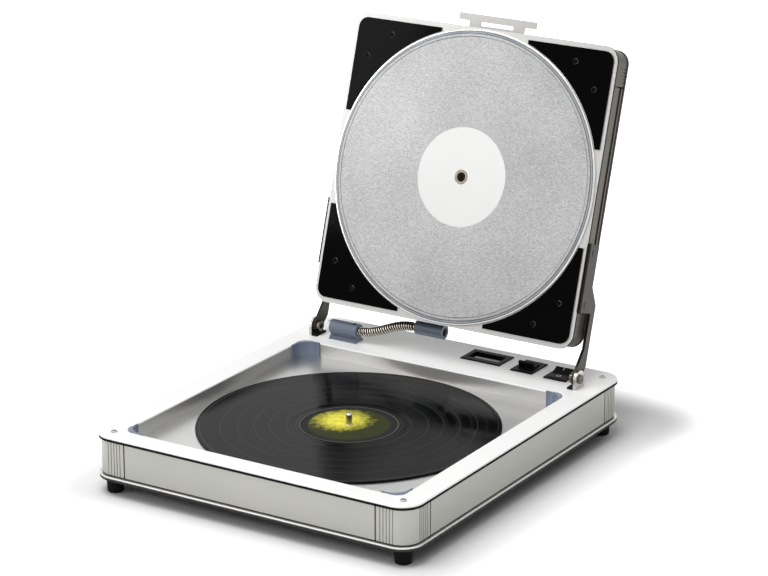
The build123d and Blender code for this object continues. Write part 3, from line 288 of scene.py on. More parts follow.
def wound_strip(colour):
    """Interlocked steel strip: bright crowns, with painted shade that turns the valleys between the
    turns near black.
    """
    material, tree, shader, mm = start_material("interlocked_steel_strip")
    crown = add(tree, "ShaderNodeAttribute", {"attribute_name": "crown"})
    marks = add(tree, "ShaderNodeTexNoise", {}, {"Vector": mm, "Scale": 1 / 1.5, "Detail": 3.0})
    height = add(tree, "ShaderNodeMath", {"operation": "MULTIPLY_ADD"}, {
        0: marks.outputs[0], 1: 0.3, 2: crown.outputs["Fac"]})
    clear_of_painted_shade = add(tree, "ShaderNodeMapRange", {}, {"Value": height.outputs[0], "From Min": 0.55,
                                                "From Max": 1.1})
    # painted shade: where the crown attribute is low, in the valleys between turns, the colour goes
    # near black
    paint = add(tree, "ShaderNodeMix", {"data_type": "RGBA"}, {
        0: clear_of_painted_shade.outputs[0], 6: linear("15120E"), 7: colour})
    rough = add(tree, "ShaderNodeMapRange", {}, {
        "Value": clear_of_painted_shade.outputs[0], "To Min": 0.5, "To Max": 0.2})
    wire(tree, paint.outputs[2], shader, "Base Color")
    wire(tree, rough.outputs[0], shader, "Roughness")
    shader.inputs["Metallic"].default_value = 1.0
    return material


def pressed_vinyl(colour, groove_mm):
    """Pressed vinyl: glossy black whose grooves, drawn coarser than real, spread the light."""
    # radii in millimetres: dead wax and rim are smooth, and the music lies between them
    music_start, music_end = (60.5, 62.0), (147.0, 146.0)
    track_gaps, gap_half_width = (52.0, 61.5, 78.0, 93.0, 109.0, 126.0, 146.5), 0.45
    place = (spindle_x, spindle_y, record_top)
    material, tree, shader, mm = start_material("pressed_vinyl", place)
    radius = around_axis(tree, mm)[1]
    # a groove profile, repeated outwards
    turns = add(tree, "ShaderNodeMath", {"operation": "MULTIPLY"}, {
        0: radius, 1: tau / groove_mm})
    wave = add(tree, "ShaderNodeMath", {"operation": "SINE"}, {0: turns.outputs[0]})
    # the gloss changes slowly from the spindle outwards, by a noise on the radius alone
    tracks = add(tree, "ShaderNodeTexNoise", {"noise_dimensions": "1D"}, {
        "W": radius, "Scale": 1 / 7.0, "Detail": 1.0})
    inside = add(tree, "ShaderNodeMapRange", {}, {
        "Value": radius, "From Min": music_start[0], "From Max": music_start[1]})
    outside = add(tree, "ShaderNodeMapRange", {}, {
        "Value": radius, "From Min": music_end[0], "From Max": music_end[1]})
    cut = add(tree, "ShaderNodeMath", {"operation": "MULTIPLY"}, {
        0: inside.outputs[0], 1: outside.outputs[0]})
    height = add(tree, "ShaderNodeMath", {"operation": "MULTIPLY"}, {
        0: wave.outputs[0], 1: cut.outputs[0]})
    relief = add(tree, "ShaderNodeBump", {}, {"Strength": 0.1, "Distance": 0.0001,
                                             "Height": height.outputs[0]})
    # the gaps between tracks carry a painted highlight: fine lighter rings in the colour
    painted_gap_highlight = None
    for gap in track_gaps:
        line = add(tree, "ShaderNodeMath", {"operation": "COMPARE"}, {
            0: radius, 1: gap, 2: gap_half_width})
        if painted_gap_highlight is None:
            painted_gap_highlight = line
        else:
            painted_gap_highlight = add(tree, "ShaderNodeMath", {"operation": "ADD"}, {
                0: painted_gap_highlight.outputs[0], 1: line.outputs[0]})
    rough = add(tree, "ShaderNodeMapRange", {}, {
        "Value": tracks.outputs[0], "From Min": 0.3, "From Max": 0.7,
        "To Min": 0.06, "To Max": 0.18})
    gap_highlight_colour = [min(part * 6 + 0.012, 1.0) for part in colour[:3]] + [1.0]
    paint = add(tree, "ShaderNodeMix", {"data_type": "RGBA"}, {
        0: painted_gap_highlight.outputs[0], 6: colour, 7: gap_highlight_colour})
    wire(tree, paint.outputs[2], shader, "Base Color")
    wire(tree, rough.outputs[0], shader, "Roughness")
    wire(tree, relief.outputs[0], shader, "Normal")
    # the shader stretches every reflection across the grooves
    around = add(tree, "ShaderNodeTangent", {"direction_type": "RADIAL", "axis": "Z"})
    wire(tree, around.outputs[0], shader, "Tangent")
    shader.inputs["Anisotropic"].default_value = 0.6
    shader.inputs["Anisotropic Rotation"].default_value = 0.25
    shader.inputs["IOR"].default_value = 1.145
    return material


def printed_label(colour, shade):
    """Uncoated label paper: soft fibres, a mottled yellow-green print and a darker rim."""
    # in millimetres: the print's lightest place, its fade and its edge, and the thin ring
    lightest, fade, print_edge = (-12.0, 6.0, 0.0), (12.0, 40.0), (40.4, 41.4)
    ring_radius, ring_half_width = 48.6, 0.5
    place = (spindle_x, spindle_y, record_top)
    material, tree, shader, mm = start_material("printed_label_paper", place)
    flat, radius = around_axis(tree, mm)
    mottle = add(tree, "ShaderNodeTexNoise", {}, {"Vector": mm, "Scale": 1 / 7, "Detail": 6.0,
                                                 "Roughness": 0.75})
    # as in the photo, the print is lightest to the left of the spindle and darkens all round
    aside = add(tree, "ShaderNodeVectorMath", {"operation": "DISTANCE"}, {
        0: flat, 1: lightest})
    rim = add(tree, "ShaderNodeMapRange", {}, {
        "Value": aside.outputs["Value"], "From Min": fade[0], "From Max": fade[1]})
    mixed = add(tree, "ShaderNodeMath", {"operation": "MULTIPLY_ADD"}, {
        0: rim.outputs[0], 1: 0.7, 2: mottle.outputs[0]})
    amount = add(tree, "ShaderNodeMapRange", {}, {"Value": mixed.outputs[0], "From Min": 0.42,
                                                 "From Max": 1.0})
    print_tone = add(tree, "ShaderNodeMix", {"data_type": "RGBA"}, {
        0: amount.outputs[0], 6: colour, 7: shade})
    # outside the print the paper is black to its edge but for one thin ring
    edge = add(tree, "ShaderNodeMapRange", {}, {
        "Value": radius, "From Min": print_edge[0], "From Max": print_edge[1]})
    ring = add(tree, "ShaderNodeMath", {"operation": "COMPARE"}, {
        0: radius, 1: ring_radius, 2: ring_half_width})
    paper = add(tree, "ShaderNodeMix", {"data_type": "RGBA"}, {
        0: ring.outputs[0], 6: linear("0E0E0E"), 7: linear("5A5A52")})
    paint = add(tree, "ShaderNodeMix", {"data_type": "RGBA"}, {
        0: edge.outputs[0], 6: print_tone.outputs[2], 7: paper.outputs[2]})
    fibre = add(tree, "ShaderNodeTexNoise", {}, {"Vector": mm, "Scale": 1 / 0.6, "Detail": 3.0})
    relief = add(tree, "ShaderNodeBump", {}, {"Strength": 0.1, "Distance": 0.0001,
                                             "Height": fibre.outputs[0]})
    wire(tree, paint.outputs[2], shader, "Base Color")
    wire(tree, relief.outputs[0], shader, "Normal")
    shader.inputs["Roughness"].default_value = 0.6
    shader.inputs["Specular IOR Level"].default_value = 0.15
    return material


def ground_plate(colour, flake_mm):
    """Ground aluminium plate: one even tone with a speckle of short streaks."""
    material, tree, shader, mm = start_material("ground_aluminium_plate", disc_centre,
                                                (lid_turn, 0, 0))
    streaks = add(tree, "ShaderNodeMapping", {}, {"Vector": mm, "Scale": (0.45, 1.0, 1.0)})
    flake = add(tree, "ShaderNodeTexNoise", {}, {"Vector": streaks.outputs[0],
                                                "Scale": 1 / flake_mm, "Detail": 4.0,
                                                "Roughness": 0.7})
    cloud = add(tree, "ShaderNodeTexNoise", {}, {"Vector": mm, "Scale": 1 / 90, "Detail": 1.0})
    haze = add(tree, "ShaderNodeMapRange", {}, {"Value": cloud.outputs[0], "From Min": 0.3,
                                               "From Max": 0.7})
    spots = add(tree, "ShaderNodeMapRange", {}, {"Value": flake.outputs[0], "From Min": 0.3,
                                                "From Max": 0.7})
    dark, bright = shaded(colour, 0.92), shaded(colour, 1.08)
    base = add(tree, "ShaderNodeMix", {"data_type": "RGBA"}, {
        0: haze.outputs[0], 6: dark, 7: bright})
    speck = add(tree, "ShaderNodeMix", {"data_type": "RGBA", "blend_type": "OVERLAY"}, {
        0: 0.38, 6: base.outputs[2], 7: spots.outputs[0]})
    rough = add(tree, "ShaderNodeMapRange", {}, {
        "Value": flake.outputs[0], "To Min": 0.28, "To Max": 0.44})
    relief = add(tree, "ShaderNodeBump", {}, {"Strength": 0.25, "Distance": 0.00015,
                                             "Height": flake.outputs[0]})
    wire(tree, speck.outputs[2], shader, "Base Color")
    wire(tree, rough.outputs[0], shader, "Roughness")
    wire(tree, relief.outputs[0], shader, "Normal")
    shader.inputs["Metallic"].default_value = 0.75
    return material


def cast_silicone(colour):
    """Cast silicone: a dark blue-grey bead with a painted highlight, a lighter line along its
    crest.
    """
    crest_radius, crest_half_width = 147.8, 0.75
    material, tree, shader, mm = start_material("cast_silicone", disc_centre, (lid_turn, 0, 0))
    radius = around_axis(tree, mm)[1]
    crest = add(tree, "ShaderNodeMath", {"operation": "COMPARE"}, {
        0: radius, 1: crest_radius, 2: crest_half_width})
    cloud = add(tree, "ShaderNodeTexNoise", {}, {"Vector": mm, "Scale": 1 / 40, "Detail": 3.0})
    highlight_strength = add(tree, "ShaderNodeMapRange", {}, {"Value": cloud.outputs[0], "From Min": 0.3,
                                               "From Max": 0.7, "To Min": 0.25, "To Max": 1.0})
    # painted highlight: along the crest the band takes its full colour, elsewhere 0.35 of it
    painted_crest_highlight = add(tree, "ShaderNodeMath", {"operation": "MULTIPLY"}, {
        0: crest.outputs[0], 1: highlight_strength.outputs[0]})
    dark = shaded(colour, 0.35)
    paint = add(tree, "ShaderNodeMix", {"data_type": "RGBA"}, {
        0: painted_crest_highlight.outputs[0], 6: dark, 7: colour})
    relief = add(tree, "ShaderNodeBump", {}, {"Strength": 0.3, "Distance": 0.0004,
                                             "Height": crest.outputs[0]})
    wire(tree, paint.outputs[2], shader, "Base Color")
    wire(tree, relief.outputs[0], shader, "Normal")
    shader.inputs["Roughness"].default_value = 0.18
    shader.inputs["Subsurface Weight"].default_value = 0.1
    shader.inputs["IOR"].default_value = 1.41
    return material


def polished_plate(colour):
    """Polished aluminium: a soft mirror with a faint waviness."""
    material, tree, shader, mm = start_material("polished_aluminium")
    haze = add(tree, "ShaderNodeTexNoise", {}, {"Vector": mm, "Scale": 1 / 30, "Detail": 3.0})
    rough = add(tree, "ShaderNodeMapRange", {}, {
        "Value": haze.outputs[0], "To Min": 0.26, "To Max": 0.34})
    relief = add(tree, "ShaderNodeBump", {}, {"Strength": 0.04, "Distance": 0.0005,
                                             "Height": haze.outputs[0]})
    darker = shaded(colour, 0.9)
    paint = add(tree, "ShaderNodeMix", {"data_type": "RGBA"}, {
        0: haze.outputs[0], 6: darker, 7: colour})
    wire(tree, paint.outputs[2], shader, "Base Color")
    wire(tree, rough.outputs[0], shader, "Roughness")
    wire(tree, relief.outputs[0], shader, "Normal")
    shader.inputs["Metallic"].default_value = 1.0
    return material


def dress(material, *names):
    """Gives CAD nodes a finish by their material slots."""
    for name in names:
        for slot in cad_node(name).material_slots:
            slot.material = material


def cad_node(name):
    """The object of a CAD node."""
    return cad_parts[name]


def clear_selection():
    """Nothing is selected before a piece is modelled."""
    for item in list(bpy.context.selected_objects):
        item.select_set(False)


def raise_shape(height, merge=0.0):
    """Extrudes a selected flat shape upwards, merges near points if asked, and ends editing."""
    bpy.ops.mesh.extrude_region_move(TRANSFORM_OT_translate={"value": (0, 0, height)})
    bpy.ops.mesh.select_all(action="SELECT")
    if merge:
        bpy.ops.mesh.remove_doubles(threshold=merge)
    bpy.ops.mesh.normals_make_consistent(inside=False)
    bpy.ops.object.mode_set(mode="OBJECT")


def finish_piece(piece, name, material, body):
    """Names a finished piece, puts its place in its mesh, dresses it and lets it ride."""
    clear_selection()
    piece.select_set(True)
    bpy.context.view_layer.objects.active = piece
    bpy.ops.object.transform_apply(location=True, rotation=True, scale=True)
    piece.name = name
    piece.data.name = name
    piece.data.materials.clear()
    piece.data.materials.append(material)
    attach(piece, body)


class FLATTENER_OT_case(bpy.types.Operator):
    """Finishes the case: deck, panels, posts, trim, gaskets and feet"""
    bl_idname = "flattener.case"
    bl_label = "Finish the case"

    def execute(self, context):
        look = context.scene.flattener_case
        grain = look.grain * 1000
        # deck: a pale even satin
        deck = anodised("satin_anodised_deck", look.deck[:], grain, (1, 1, 1), 0.15, 0.5, 0.05)
        deck.node_tree.nodes["Principled BSDF"].inputs["Specular IOR Level"].default_value = 0.4
        # panels and posts: the same skin, its grain drawn out along each piece
        panel_x = anodised("extruded_anodised_panel_x", look.panel[:], grain,
                           (0.05, 1, 1), 0.55, 0.4, 0.07)
        panel_y = anodised("extruded_anodised_panel_y", look.panel[:], grain,
                           (1, 0.05, 1), 0.55, 0.4, 0.07)
        post = anodised("extruded_anodised_post", look.panel[:], grain, (1, 1, 0.05),
                        0.55, 0.4, 0.07)
        trim = anodised("bright_anodised_trim", look.trim[:], grain, (1, 1, 1), 0.8, 0.3, 0.05)
        liner = anodised("satin_anodised_liner", linear("C4C3C0"), grain, (0.1, 0.1, 1),
                         0.85, 0.4, 0.1)
        paint = moulded("black_powder_coat", linear("1B1B1C"), 0.7, 0.55, 0.4)
        rubber = moulded("moulded_black_rubber", look.rubber[:], 0.9, 0.7, 0.12)
        dress(deck, "deck_plate")
        dress(panel_x, "wall_front", "wall_rear")
        dress(panel_y, "wall_sides")
        dress(post, "base_corner_posts")
        dress(trim, "base_trim")
        dress(liner, "well_liner")
        dress(paint, "bottom_plate")
        dress(rubber, "base_feet", "deck_gasket", "lower_gasket", "hinge_pads")
        return {"FINISHED"}


class FLATTENER_OT_well(bpy.types.Operator):
    """Finishes the well: mirror floor, corner inserts, spindle and what lies below"""
    bl_idname = "flattener.well"
    bl_label = "Finish the well"

    def execute(self, context):
        press = context.scene.flattener_press
        hose = context.scene.flattener_hose
        dress(polished_plate(press.mirror[:]), "lower_platen")
        slate = moulded("moulded_slate_abs", hose.clamp[:], 0.9, 0.38, 0.5, 0.12)
        dress(slate, "base_conduit_clamp", "lid_conduit_clamp")
        pale = moulded("polished_slate_abs", linear("6E7A8F"), 1.4, 0.26, 0.6, 0.12, 0.05)
        dress(pale, "well_corner_inserts")
        steel = turned_metal("turned_stainless_steel", linear("C9C5BD"), 0.2)
        dress(steel, "spindle", "spindle_nut", "platen_posts", "foot_studs", "guide_pins")
        dress(turned_metal("burnished_steel", linear("B0B3B7"), 0.3), "deck_screws")
        # dark screws, which hardly show on the gloss black plates, with a painted highlight on
        # their rims
        dress(screw_with_painted_rim_highlight(linear("A5A7AA"), linear("0C0C0D")), "corner_plate_screws")
        mat = moulded("moulded_heater_silicone", linear("A8562B"), 1.2, 0.6, 0.4)
        dress(mat, "lower_heater_mat", "upper_heater_mat")
        board = moulded("pressed_mineral_board", linear("D8CFB8"), 2.0, 0.85, 0.2)
        dress(board, "lower_insulation")
        return {"FINISHED"}


class FLATTENER_OT_record(bpy.types.Operator):
    """Finishes the record and its plain label"""
    bl_idname = "flattener.record"
    bl_label = "Finish the record"

    def execute(self, context):
        look = context.scene.flattener_record
        dress(pressed_vinyl(look.vinyl[:], look.groove * 1000), "record_disc")
        dress(printed_label(look.label[:], look.label_shade[:]), "record_label")
        return {"FINISHED"}


class FLATTENER_OT_controls(bpy.types.Operator):
    """Finishes the display, the two switches and the mains inlet"""
    bl_idname = "flattener.controls"
    bl_label = "Finish the controls"

    def execute(self, context):
        black = moulded("moulded_black_abs", linear("0C0C0D"), 0.8, 0.5, 0.08)
        satin = moulded("polished_black_abs", linear("090909"), 1.2, 0.45, 0.1)
        lens = moulded("smoked_acrylic", linear("0A0B0C"), 6.0, 0.08, 0.5, 0.1, 0.0)
        board = moulded("coated_circuit_board", linear("1F5A36"), 1.5, 0.4, 0.5)
        dress(black, "display_bezel", "paddle_housing", "rocker_housing", "mains_inlet")
        dress(satin, "mode_paddle", "power_rocker")
        dress(lens, "display_lens")
        dress(board, "control_board", "display_module")
        return {"FINISHED"}


class FLATTENER_OT_rocker_marks(bpy.types.Operator):
    """Adds the plain on and off marks of the power switch"""
    bl_idname = "flattener.rocker_marks"
    bl_label = "Model the switch marks"

    def execute(self, context):
        clear_of_skin, mark_height = 0.00002, 0.00008
        ring_radius, ring_inside = 0.0027, 0.66
        bar_length, bar_slimness = 0.004, 0.22
        white = moulded("pad_printed_white", linear("D8D8D6"), 0.5, 0.5, 0.3, 0.05, 0.0)
        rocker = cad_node("power_rocker")
        middle = (rocker_low.x + rocker_high.x) / 2

        def on_rocker(share):
            """A place on the rocker's skin, a share of its depth from the front, turned to it."""
            forward = rocker_low.y + (rocker_high.y - rocker_low.y) * share
            start = Vector((middle, forward, rocker_high.z + 0.01))
            found, place, outward = rocker.ray_cast(start, Vector((0, 0, -1)))[:3]
            if not found:
                raise RuntimeError("no skin of the rocker lies under this mark")
            turn = outward.to_track_quat("Z", "Y").to_matrix().to_4x4()
            return Matrix.Translation(place + outward * clear_of_skin) @ turn

        # the ring: a circle drawn inwards, then raised a hair
        clear_selection()
        bpy.ops.mesh.primitive_circle_add(vertices=40, radius=ring_radius, fill_type="NOTHING")
        bpy.ops.object.mode_set(mode="EDIT")
        bpy.ops.mesh.select_all(action="SELECT")
        bpy.ops.mesh.extrude_edges_move()
        bpy.ops.transform.resize(value=(ring_inside, ring_inside, 1))
        bpy.ops.mesh.select_all(action="SELECT")
        raise_shape(mark_height)
        ring = bpy.context.active_object
        ring.matrix_world = on_rocker(0.27)
        finish_piece(ring, "rocker_off_mark", white, "rocker")
        # the bar on the raised half
        clear_selection()
        bpy.ops.mesh.primitive_plane_add(size=bar_length)
        bpy.ops.object.mode_set(mode="EDIT")
        bpy.ops.mesh.select_all(action="SELECT")
        bpy.ops.transform.resize(value=(bar_slimness, 1, 1))
        raise_shape(mark_height)
        bar = bpy.context.active_object
        bar.matrix_world = on_rocker(0.75)
        soft = bar.modifiers.new("soft", "BEVEL")
        soft.width = 0.00003
        soft.segments = 2
        bpy.ops.object.modifier_apply(modifier="soft")
        finish_piece(bar, "rocker_on_mark", white, "rocker")
        return {"FINISHED"}


class FLATTENER_OT_hinge(bpy.types.Operator):
    """Finishes the hinge brackets, bolts and arms"""
    bl_idname = "flattener.hinge"
    bl_label = "Finish the hinge"

    def execute(self, context):
        plated = turned_metal("zinc_plated_steel", linear("C4C1BB"), 0.28)
        dark = turned_metal("oiled_steel", linear("6F6A63"), 0.25)
        arm = anodised("ground_steel_arm", linear("2E2A24"), 0.6, (1, 0.1, 0.1), 0.9, 0.3, 0.15)
        dress(plated, "hinge_brackets", "arm_spacers")
        dress(dark, "hinge_bolts", "hinge_nuts")
        dress(arm, "arm_right", "arm_left", "arm_screws")
        return {"FINISHED"}


class FLATTENER_OT_lid(bpy.types.Operator):
    """Finishes the lid: heated plate, band, ring, corner plates and shell"""
    bl_idname = "flattener.lid"
    bl_label = "Finish the lid"

    def execute(self, context):
        case = context.scene.flattener_case
        press = context.scene.flattener_press
        dress(ground_plate(press.platen[:], press.flake * 1000), "upper_platen")
        dress(cast_silicone(press.band[:]), "silicone_band")
        dress(moulded("matt_white_ptfe", press.disc[:], 1.2, 0.5, 0.3, 0.03), "centre_disc")
        ring = turned_metal("polished_bead_ring", linear("DAD9D6"), 0.15)
        dress(ring, "platen_ring")
        dress(turned_metal("nickel_eyelet", linear("8F887C"), 0.22), "spindle_eyelet")
        face = anodised("bright_anodised_face", linear("BDBCBA"), 0.8, (1, 1, 1), 0.6, 0.32, 0.05)
        dress(face, "lid_face_plate")
        gloss = moulded("gloss_black_acrylic", linear("030304"), 8.0, 0.04, 0.5, 0.1, 0.0)
        gloss.node_tree.nodes["Principled BSDF"].inputs["IOR"].default_value = 1.1
        dress(gloss, "lid_corner_plates")
        shell = anodised("dark_anodised_shell", case.lid_shell[:], 0.8, (1, 0.1, 0.1),
                         0.7, 0.38, 0.1)
        dress(shell, "lid_end_walls", "lid_side_walls", "lid_corner_posts")
        back = moulded("dark_powder_coat", linear("2A2A2B"), 0.8, 0.5, 0.4)
        dress(back, "lid_back_plate")
        dress(moulded("black_foam_rubber", case.rubber[:], 0.9, 0.75, 0.25), "lid_gasket")
        inner = anodised("mill_aluminium", linear("AFAEAB"), 0.8, (0.1, 1, 1), 0.9, 0.4, 0.1)
        dress(inner, "lid_carrier")
        grip = anodised("satin_aluminium_grip", linear("ADACAA"), 0.8, (0.1, 1, 1), 0.7, 0.35, 0.06)
        dress(grip, "lid_handle")
        return {"FINISHED"}


class FLATTENER_OT_plate_lip(bpy.types.Operator):
    """Models the thin lip of the upper plate that laps over the silicone band"""
    bl_idname = "flattener.plate_lip"
    bl_label = "Model the plate's lip"

    def execute(self, context):
        press = context.scene.flattener_press
        inner, outer, thick, sunk = 0.14355, 0.1461, 0.00026, 0.00002
        disc_middle_to_face = 0.000325
        clear_selection()
        bpy.ops.mesh.primitive_circle_add(vertices=192, radius=outer, fill_type="NOTHING",
                                          location=(0, 0, -sunk - thick))
        bpy.ops.object.mode_set(mode="EDIT")
        bpy.ops.mesh.select_all(action="SELECT")
        bpy.ops.mesh.extrude_edges_move()
        bpy.ops.transform.resize(value=(inner / outer, inner / outer, 1))
        bpy.ops.mesh.select_all(action="SELECT")
        raise_shape(thick, merge=0.00001)
        lip = bpy.context.active_object
        edge = lip.modifiers.new("edge", "BEVEL")
        edge.width = 0.0001
        edge.segments = 2
        bpy.ops.object.modifier_apply(modifier="edge")
        turn = Matrix.Rotation(lid_turn, 4, "X")
        face = disc_centre + turn @ Vector((0, 0, disc_middle_to_face))
        lip.matrix_world = Matrix.Translation(face) @ turn @ lip.matrix_world
        finish_piece(lip, "upper_plate_lip", ground_plate(press.platen[:], press.flake * 1000),
                     "floating_plate")
        return {"FINISHED"}


# The conduit's route from clamp to clamp, in metres
conduit_route = ((-0.1165, 0.12446, 0.0730), (-0.0960, 0.12446, 0.0730),
                 (-0.08115, 0.12553, 0.07611), (-0.0575, 0.12887, 0.08591),
                 (-0.0410, 0.12978, 0.08855), (-0.0205, 0.12978, 0.08855))


# The strip's crown takes this share of a turn, and a lower power makes it squarer
crown_share, crown_roundness = 0.66, 0.6


def smooth_route(points, steps):
    """The points of a smooth line through the route's control points."""
    curve = bpy.data.curves.new("conduit_line", "CURVE")
    curve.dimensions = "3D"
    curve.resolution_u = steps
    line = curve.splines.new("NURBS")
    line.points.add(len(points) - 1)
    for point, place in zip(line.points, points):
        point.co = (*place, 1.0)
    line.use_endpoint_u = True
    line.order_u = 3
    holder = bpy.data.objects.new("conduit_line", curve)
    mesh = bpy.data.meshes.new_from_object(holder)
    places = [vertex.co.copy() for vertex in mesh.vertices]
    bpy.data.meshes.remove(mesh)
    bpy.data.objects.remove(holder)
    bpy.data.curves.remove(curve)
    return places


def along(places, distance):
    """The point and direction at a distance along a line of points."""
    for before, after in zip(places, places[1:]):
        length = (after - before).length
        if distance <= length or after is places[-1]:
            return before + (after - before) * (distance / length), (after - before).normalized()
        distance -= length
    raise RuntimeError("the conduit's line has no such point")


def strip_profile(share):
    """Height of the steel strip across one turn: a rounded crown and a narrow valley."""
    share = share % 1.0
    if share < crown_share:
        return sin(share / crown_share * tau / 2) ** crown_roundness
    return 0.0


class FLATTENER_OT_conduit(bpy.types.Operator):
    """Models the interlocked steel conduit that crosses from the base to the lid"""
    bl_idname = "flattener.conduit"
    bl_label = "Model the conduit"

    def execute(self, context):
        look = context.scene.flattener_hose
        places = smooth_route(conduit_route, 24)
        end_in_clamp = (Vector(conduit_route[1]) - Vector(conduit_route[0])).length
        total = sum((b - a).length for a, b in zip(places, places[1:]))
        around, rows_a_turn = 28, 12
        narrowing, narrow_before, narrow_over = 0.0009, 0.0022, 0.001
        rows = int(total / look.pitch * rows_a_turn)
        mesh = bpy.data.meshes.new("flexible_conduit")
        shape = bmesh.new()
        # each point keeps the strip's crown height, which the strip's material also uses to paint
        # shade into the valleys
        crown = shape.verts.layers.float.new("crown")
        rings = []
        side = Vector((0, 0, 1))
        for row in range(rows + 1):
            distance = total * row / rows
            centre, heading = along(places, distance)
            across = side.cross(heading).normalized()
            upward = heading.cross(across)
            # the strip is drawn fuller than the solid, so its ends narrow to fit the clamps' bores
            from_end = min(distance, total - distance)
            free = (from_end - end_in_clamp + narrow_before) / narrow_over
            pinch = narrowing * (1 - min(max(free, 0.0), 1.0))
            ring = []
            for step in range(around):
                angle = tau * step / around
                share = distance / look.pitch - step / around
                radius = look.radius - look.rib * (1 - strip_profile(share)) - pinch
                place = centre + (across * cos(angle) + upward * sin(angle)) * radius
                vertex = shape.verts.new(place)
                vertex[crown] = strip_profile(share)
                ring.append(vertex)
            rings.append(ring)
        for before, after in zip(rings, rings[1:]):
            for step in range(around):
                ahead = (step + 1) % around
                shape.faces.new((before[step], before[ahead], after[ahead], after[step]))
        shape.faces.new(list(reversed(rings[0])))
        shape.faces.new(rings[-1])
        bmesh.ops.recalc_face_normals(shape, faces=shape.faces)
        shape.to_mesh(mesh)
        shape.free()
        hose = bpy.data.objects.new("flexible_conduit", mesh)
        context.collection.objects.link(hose)
        for face in mesh.polygons:
            face.use_smooth = True
        steel = wound_strip(look.steel[:])
        mesh.materials.append(steel)
        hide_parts("conduit")
        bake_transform(hose)
        dress(steel, "conduit")
        return {"FINISHED"}


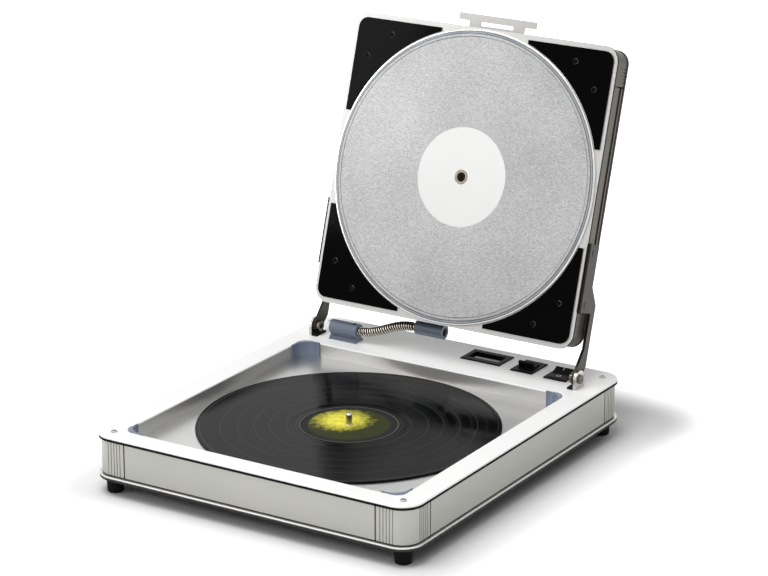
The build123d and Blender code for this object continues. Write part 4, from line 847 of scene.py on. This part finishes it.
class FLATTENER_OT_studio(bpy.types.Operator):
    """Sets the camera, the pale floor and the soft studio light"""
    bl_idname = "flattener.studio"
    bl_label = "Set up the studio"

    def execute(self, context):
        look = context.scene.flattener_studio
        scene = context.scene
        scene.view_settings.view_transform = "Standard"

        camera_data = bpy.data.cameras.new("studio_camera")
        camera_data.lens = look.lens
        camera_data.sensor_width = 36.0
        camera_data.sensor_fit = "HORIZONTAL"
        camera_data.shift_x = -0.02995
        camera_data.shift_y = 0.00394
        camera_data.clip_start = 0.05
        camera_data.clip_end = 60.0
        camera = bpy.data.objects.new("studio_camera", camera_data)
        camera.location = (1.47107, -2.34040, 1.09254)
        camera.rotation_euler = (radians(71.5524), radians(-0.1048), radians(31.6112))
        context.collection.objects.link(camera)
        scene.camera = camera

        world = bpy.data.worlds.new("studio_surroundings")
        scene.world = world
        world.use_nodes = True
        tree = world.node_tree
        tree.nodes.clear()
        shown = seen_directly(tree)
        level = add(tree, "ShaderNodeMapRange", {}, {
            "Value": shown, "To Min": look.fill_level, "To Max": 1.0})
        light = add(tree, "ShaderNodeBackground", {}, {
            "Color": (1.0, 1.0, 1.0, 1.0), "Strength": level.outputs[0]})
        add(tree, "ShaderNodeOutputWorld", {}, {"Surface": light.outputs[0]})

        clear_selection()
        bpy.ops.mesh.primitive_plane_add(size=14, location=(0, 0, -0.0002))
        floor = bpy.context.active_object
        floor.name = "studio_floor"
        paper = bpy.data.materials.new("matt_white_paper")
        paper.use_nodes = True
        tree = paper.node_tree
        tree.nodes.clear()
        matt = add(tree, "ShaderNodeBsdfDiffuse", {}, {"Color": (0.9, 0.9, 0.9, 1.0)})
        shown = seen_directly(tree)
        # the floor shows pure white away from the object and keeps the shadow near it
        where = add(tree, "ShaderNodeTexCoord")
        folded = add(tree, "ShaderNodeVectorMath", {"operation": "ABSOLUTE"}, {
            0: where.outputs["Object"]})
        beyond = add(tree, "ShaderNodeVectorMath", {"operation": "SUBTRACT"}, {
            0: folded.outputs[0], 1: (0.18, 0.21, 0.0)})
        outside = add(tree, "ShaderNodeVectorMath", {"operation": "MAXIMUM"}, {
            0: beyond.outputs[0], 1: (0.0, 0.0, 0.0)})
        away = add(tree, "ShaderNodeVectorMath", {"operation": "LENGTH"}, {
            0: outside.outputs[0]})
        sweep = add(tree, "ShaderNodeMapRange", {"interpolation_type": "SMOOTHSTEP"}, {
            "Value": away.outputs["Value"], "From Min": 0.025, "From Max": 0.12})
        level = add(tree, "ShaderNodeMath", {"operation": "MULTIPLY"}, {
            0: shown, 1: sweep.outputs[0]})
        lift = add(tree, "ShaderNodeEmission", {}, {
            "Color": (1.0, 1.0, 1.0, 1.0), "Strength": level.outputs[0]})
        both = add(tree, "ShaderNodeAddShader", {}, {0: matt.outputs[0], 1: lift.outputs[0]})
        add(tree, "ShaderNodeOutputMaterial", {}, {"Surface": both.outputs[0]})
        floor.data.materials.append(paper)

        for name, place, size, power in (
                ("overhead_light", (-0.3, -0.5, 2.1), 1.4, look.key_power),
                ("side_light", (-1.6, -1.7, 1.0), 0.6, look.key_power * 0.16),
                ("front_light", (0.5, -1.7, 1.6), 1.2, look.key_power * 0.22),
                ("back_light", (0.6, 1.6, 1.7), 1.4, look.key_power * 0.22)):
            lamp_data = bpy.data.lights.new(name, "AREA")
            lamp_data.shape = "SQUARE"
            lamp_data.size = size
            lamp_data.energy = power
            lamp = bpy.data.objects.new(name, lamp_data)
            lamp.location = place
            toward = Vector((0, 0, 0.12)) - Vector(place)
            lamp.rotation_euler = toward.to_track_quat("-Z", "Y").to_euler()
            context.collection.objects.link(lamp)
        return {"FINISHED"}


class FLATTENER_PT_panel(bpy.types.Panel):
    """The sidebar panel with every setting and step"""
    bl_idname = "FLATTENER_PT_panel"
    bl_label = "Record flattener"
    bl_space_type = "VIEW_3D"
    bl_region_type = "UI"
    bl_category = "Flattener"

    def draw(self, context):
        layout = self.layout
        for group in setting_groups:
            box = layout.box()
            settings = getattr(context.scene, group)
            for name in settings.bl_rna.properties.keys():
                if name not in ("rna_type", "name"):
                    box.prop(settings, name)
        for operator in operators:
            layout.operator(operator.bl_idname)


setting_groups = {
    "flattener_case": CaseFinish,
    "flattener_press": PressFinish,
    "flattener_record": RecordFinish,
    "flattener_hose": HoseFinish,
    "flattener_studio": StudioSettings,
}

operators = (
    FLATTENER_OT_studio,
    FLATTENER_OT_case,
    FLATTENER_OT_well,
    FLATTENER_OT_record,
    FLATTENER_OT_controls,
    FLATTENER_OT_rocker_marks,
    FLATTENER_OT_hinge,
    FLATTENER_OT_lid,
    FLATTENER_OT_plate_lip,
    FLATTENER_OT_conduit,
)


def register():
    """Registers the settings, the operators and the panel."""
    for name, group in setting_groups.items():
        bpy.utils.register_class(group)
        setattr(bpy.types.Scene, name, bpy.props.PointerProperty(type=group))
    for operator in operators:
        bpy.utils.register_class(operator)
    bpy.utils.register_class(FLATTENER_PT_panel)


def unregister():
    """Takes the panel, the operators and the settings away again."""
    bpy.utils.unregister_class(FLATTENER_PT_panel)
    for operator in reversed(operators):
        bpy.utils.unregister_class(operator)
    for name, group in reversed(setting_groups.items()):
        delattr(bpy.types.Scene, name)
        bpy.utils.unregister_class(group)


def main():
    """Registers the add-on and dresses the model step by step."""
    register()
    bpy.ops.flattener.studio()
    bpy.ops.flattener.case()
    bpy.ops.flattener.well()
    bpy.ops.flattener.record()
    bpy.ops.flattener.controls()
    bpy.ops.flattener.rocker_marks()
    bpy.ops.flattener.hinge()
    bpy.ops.flattener.lid()
    bpy.ops.flattener.plate_lip()
    bpy.ops.flattener.conduit()


if __name__ == "__main__":
    main()
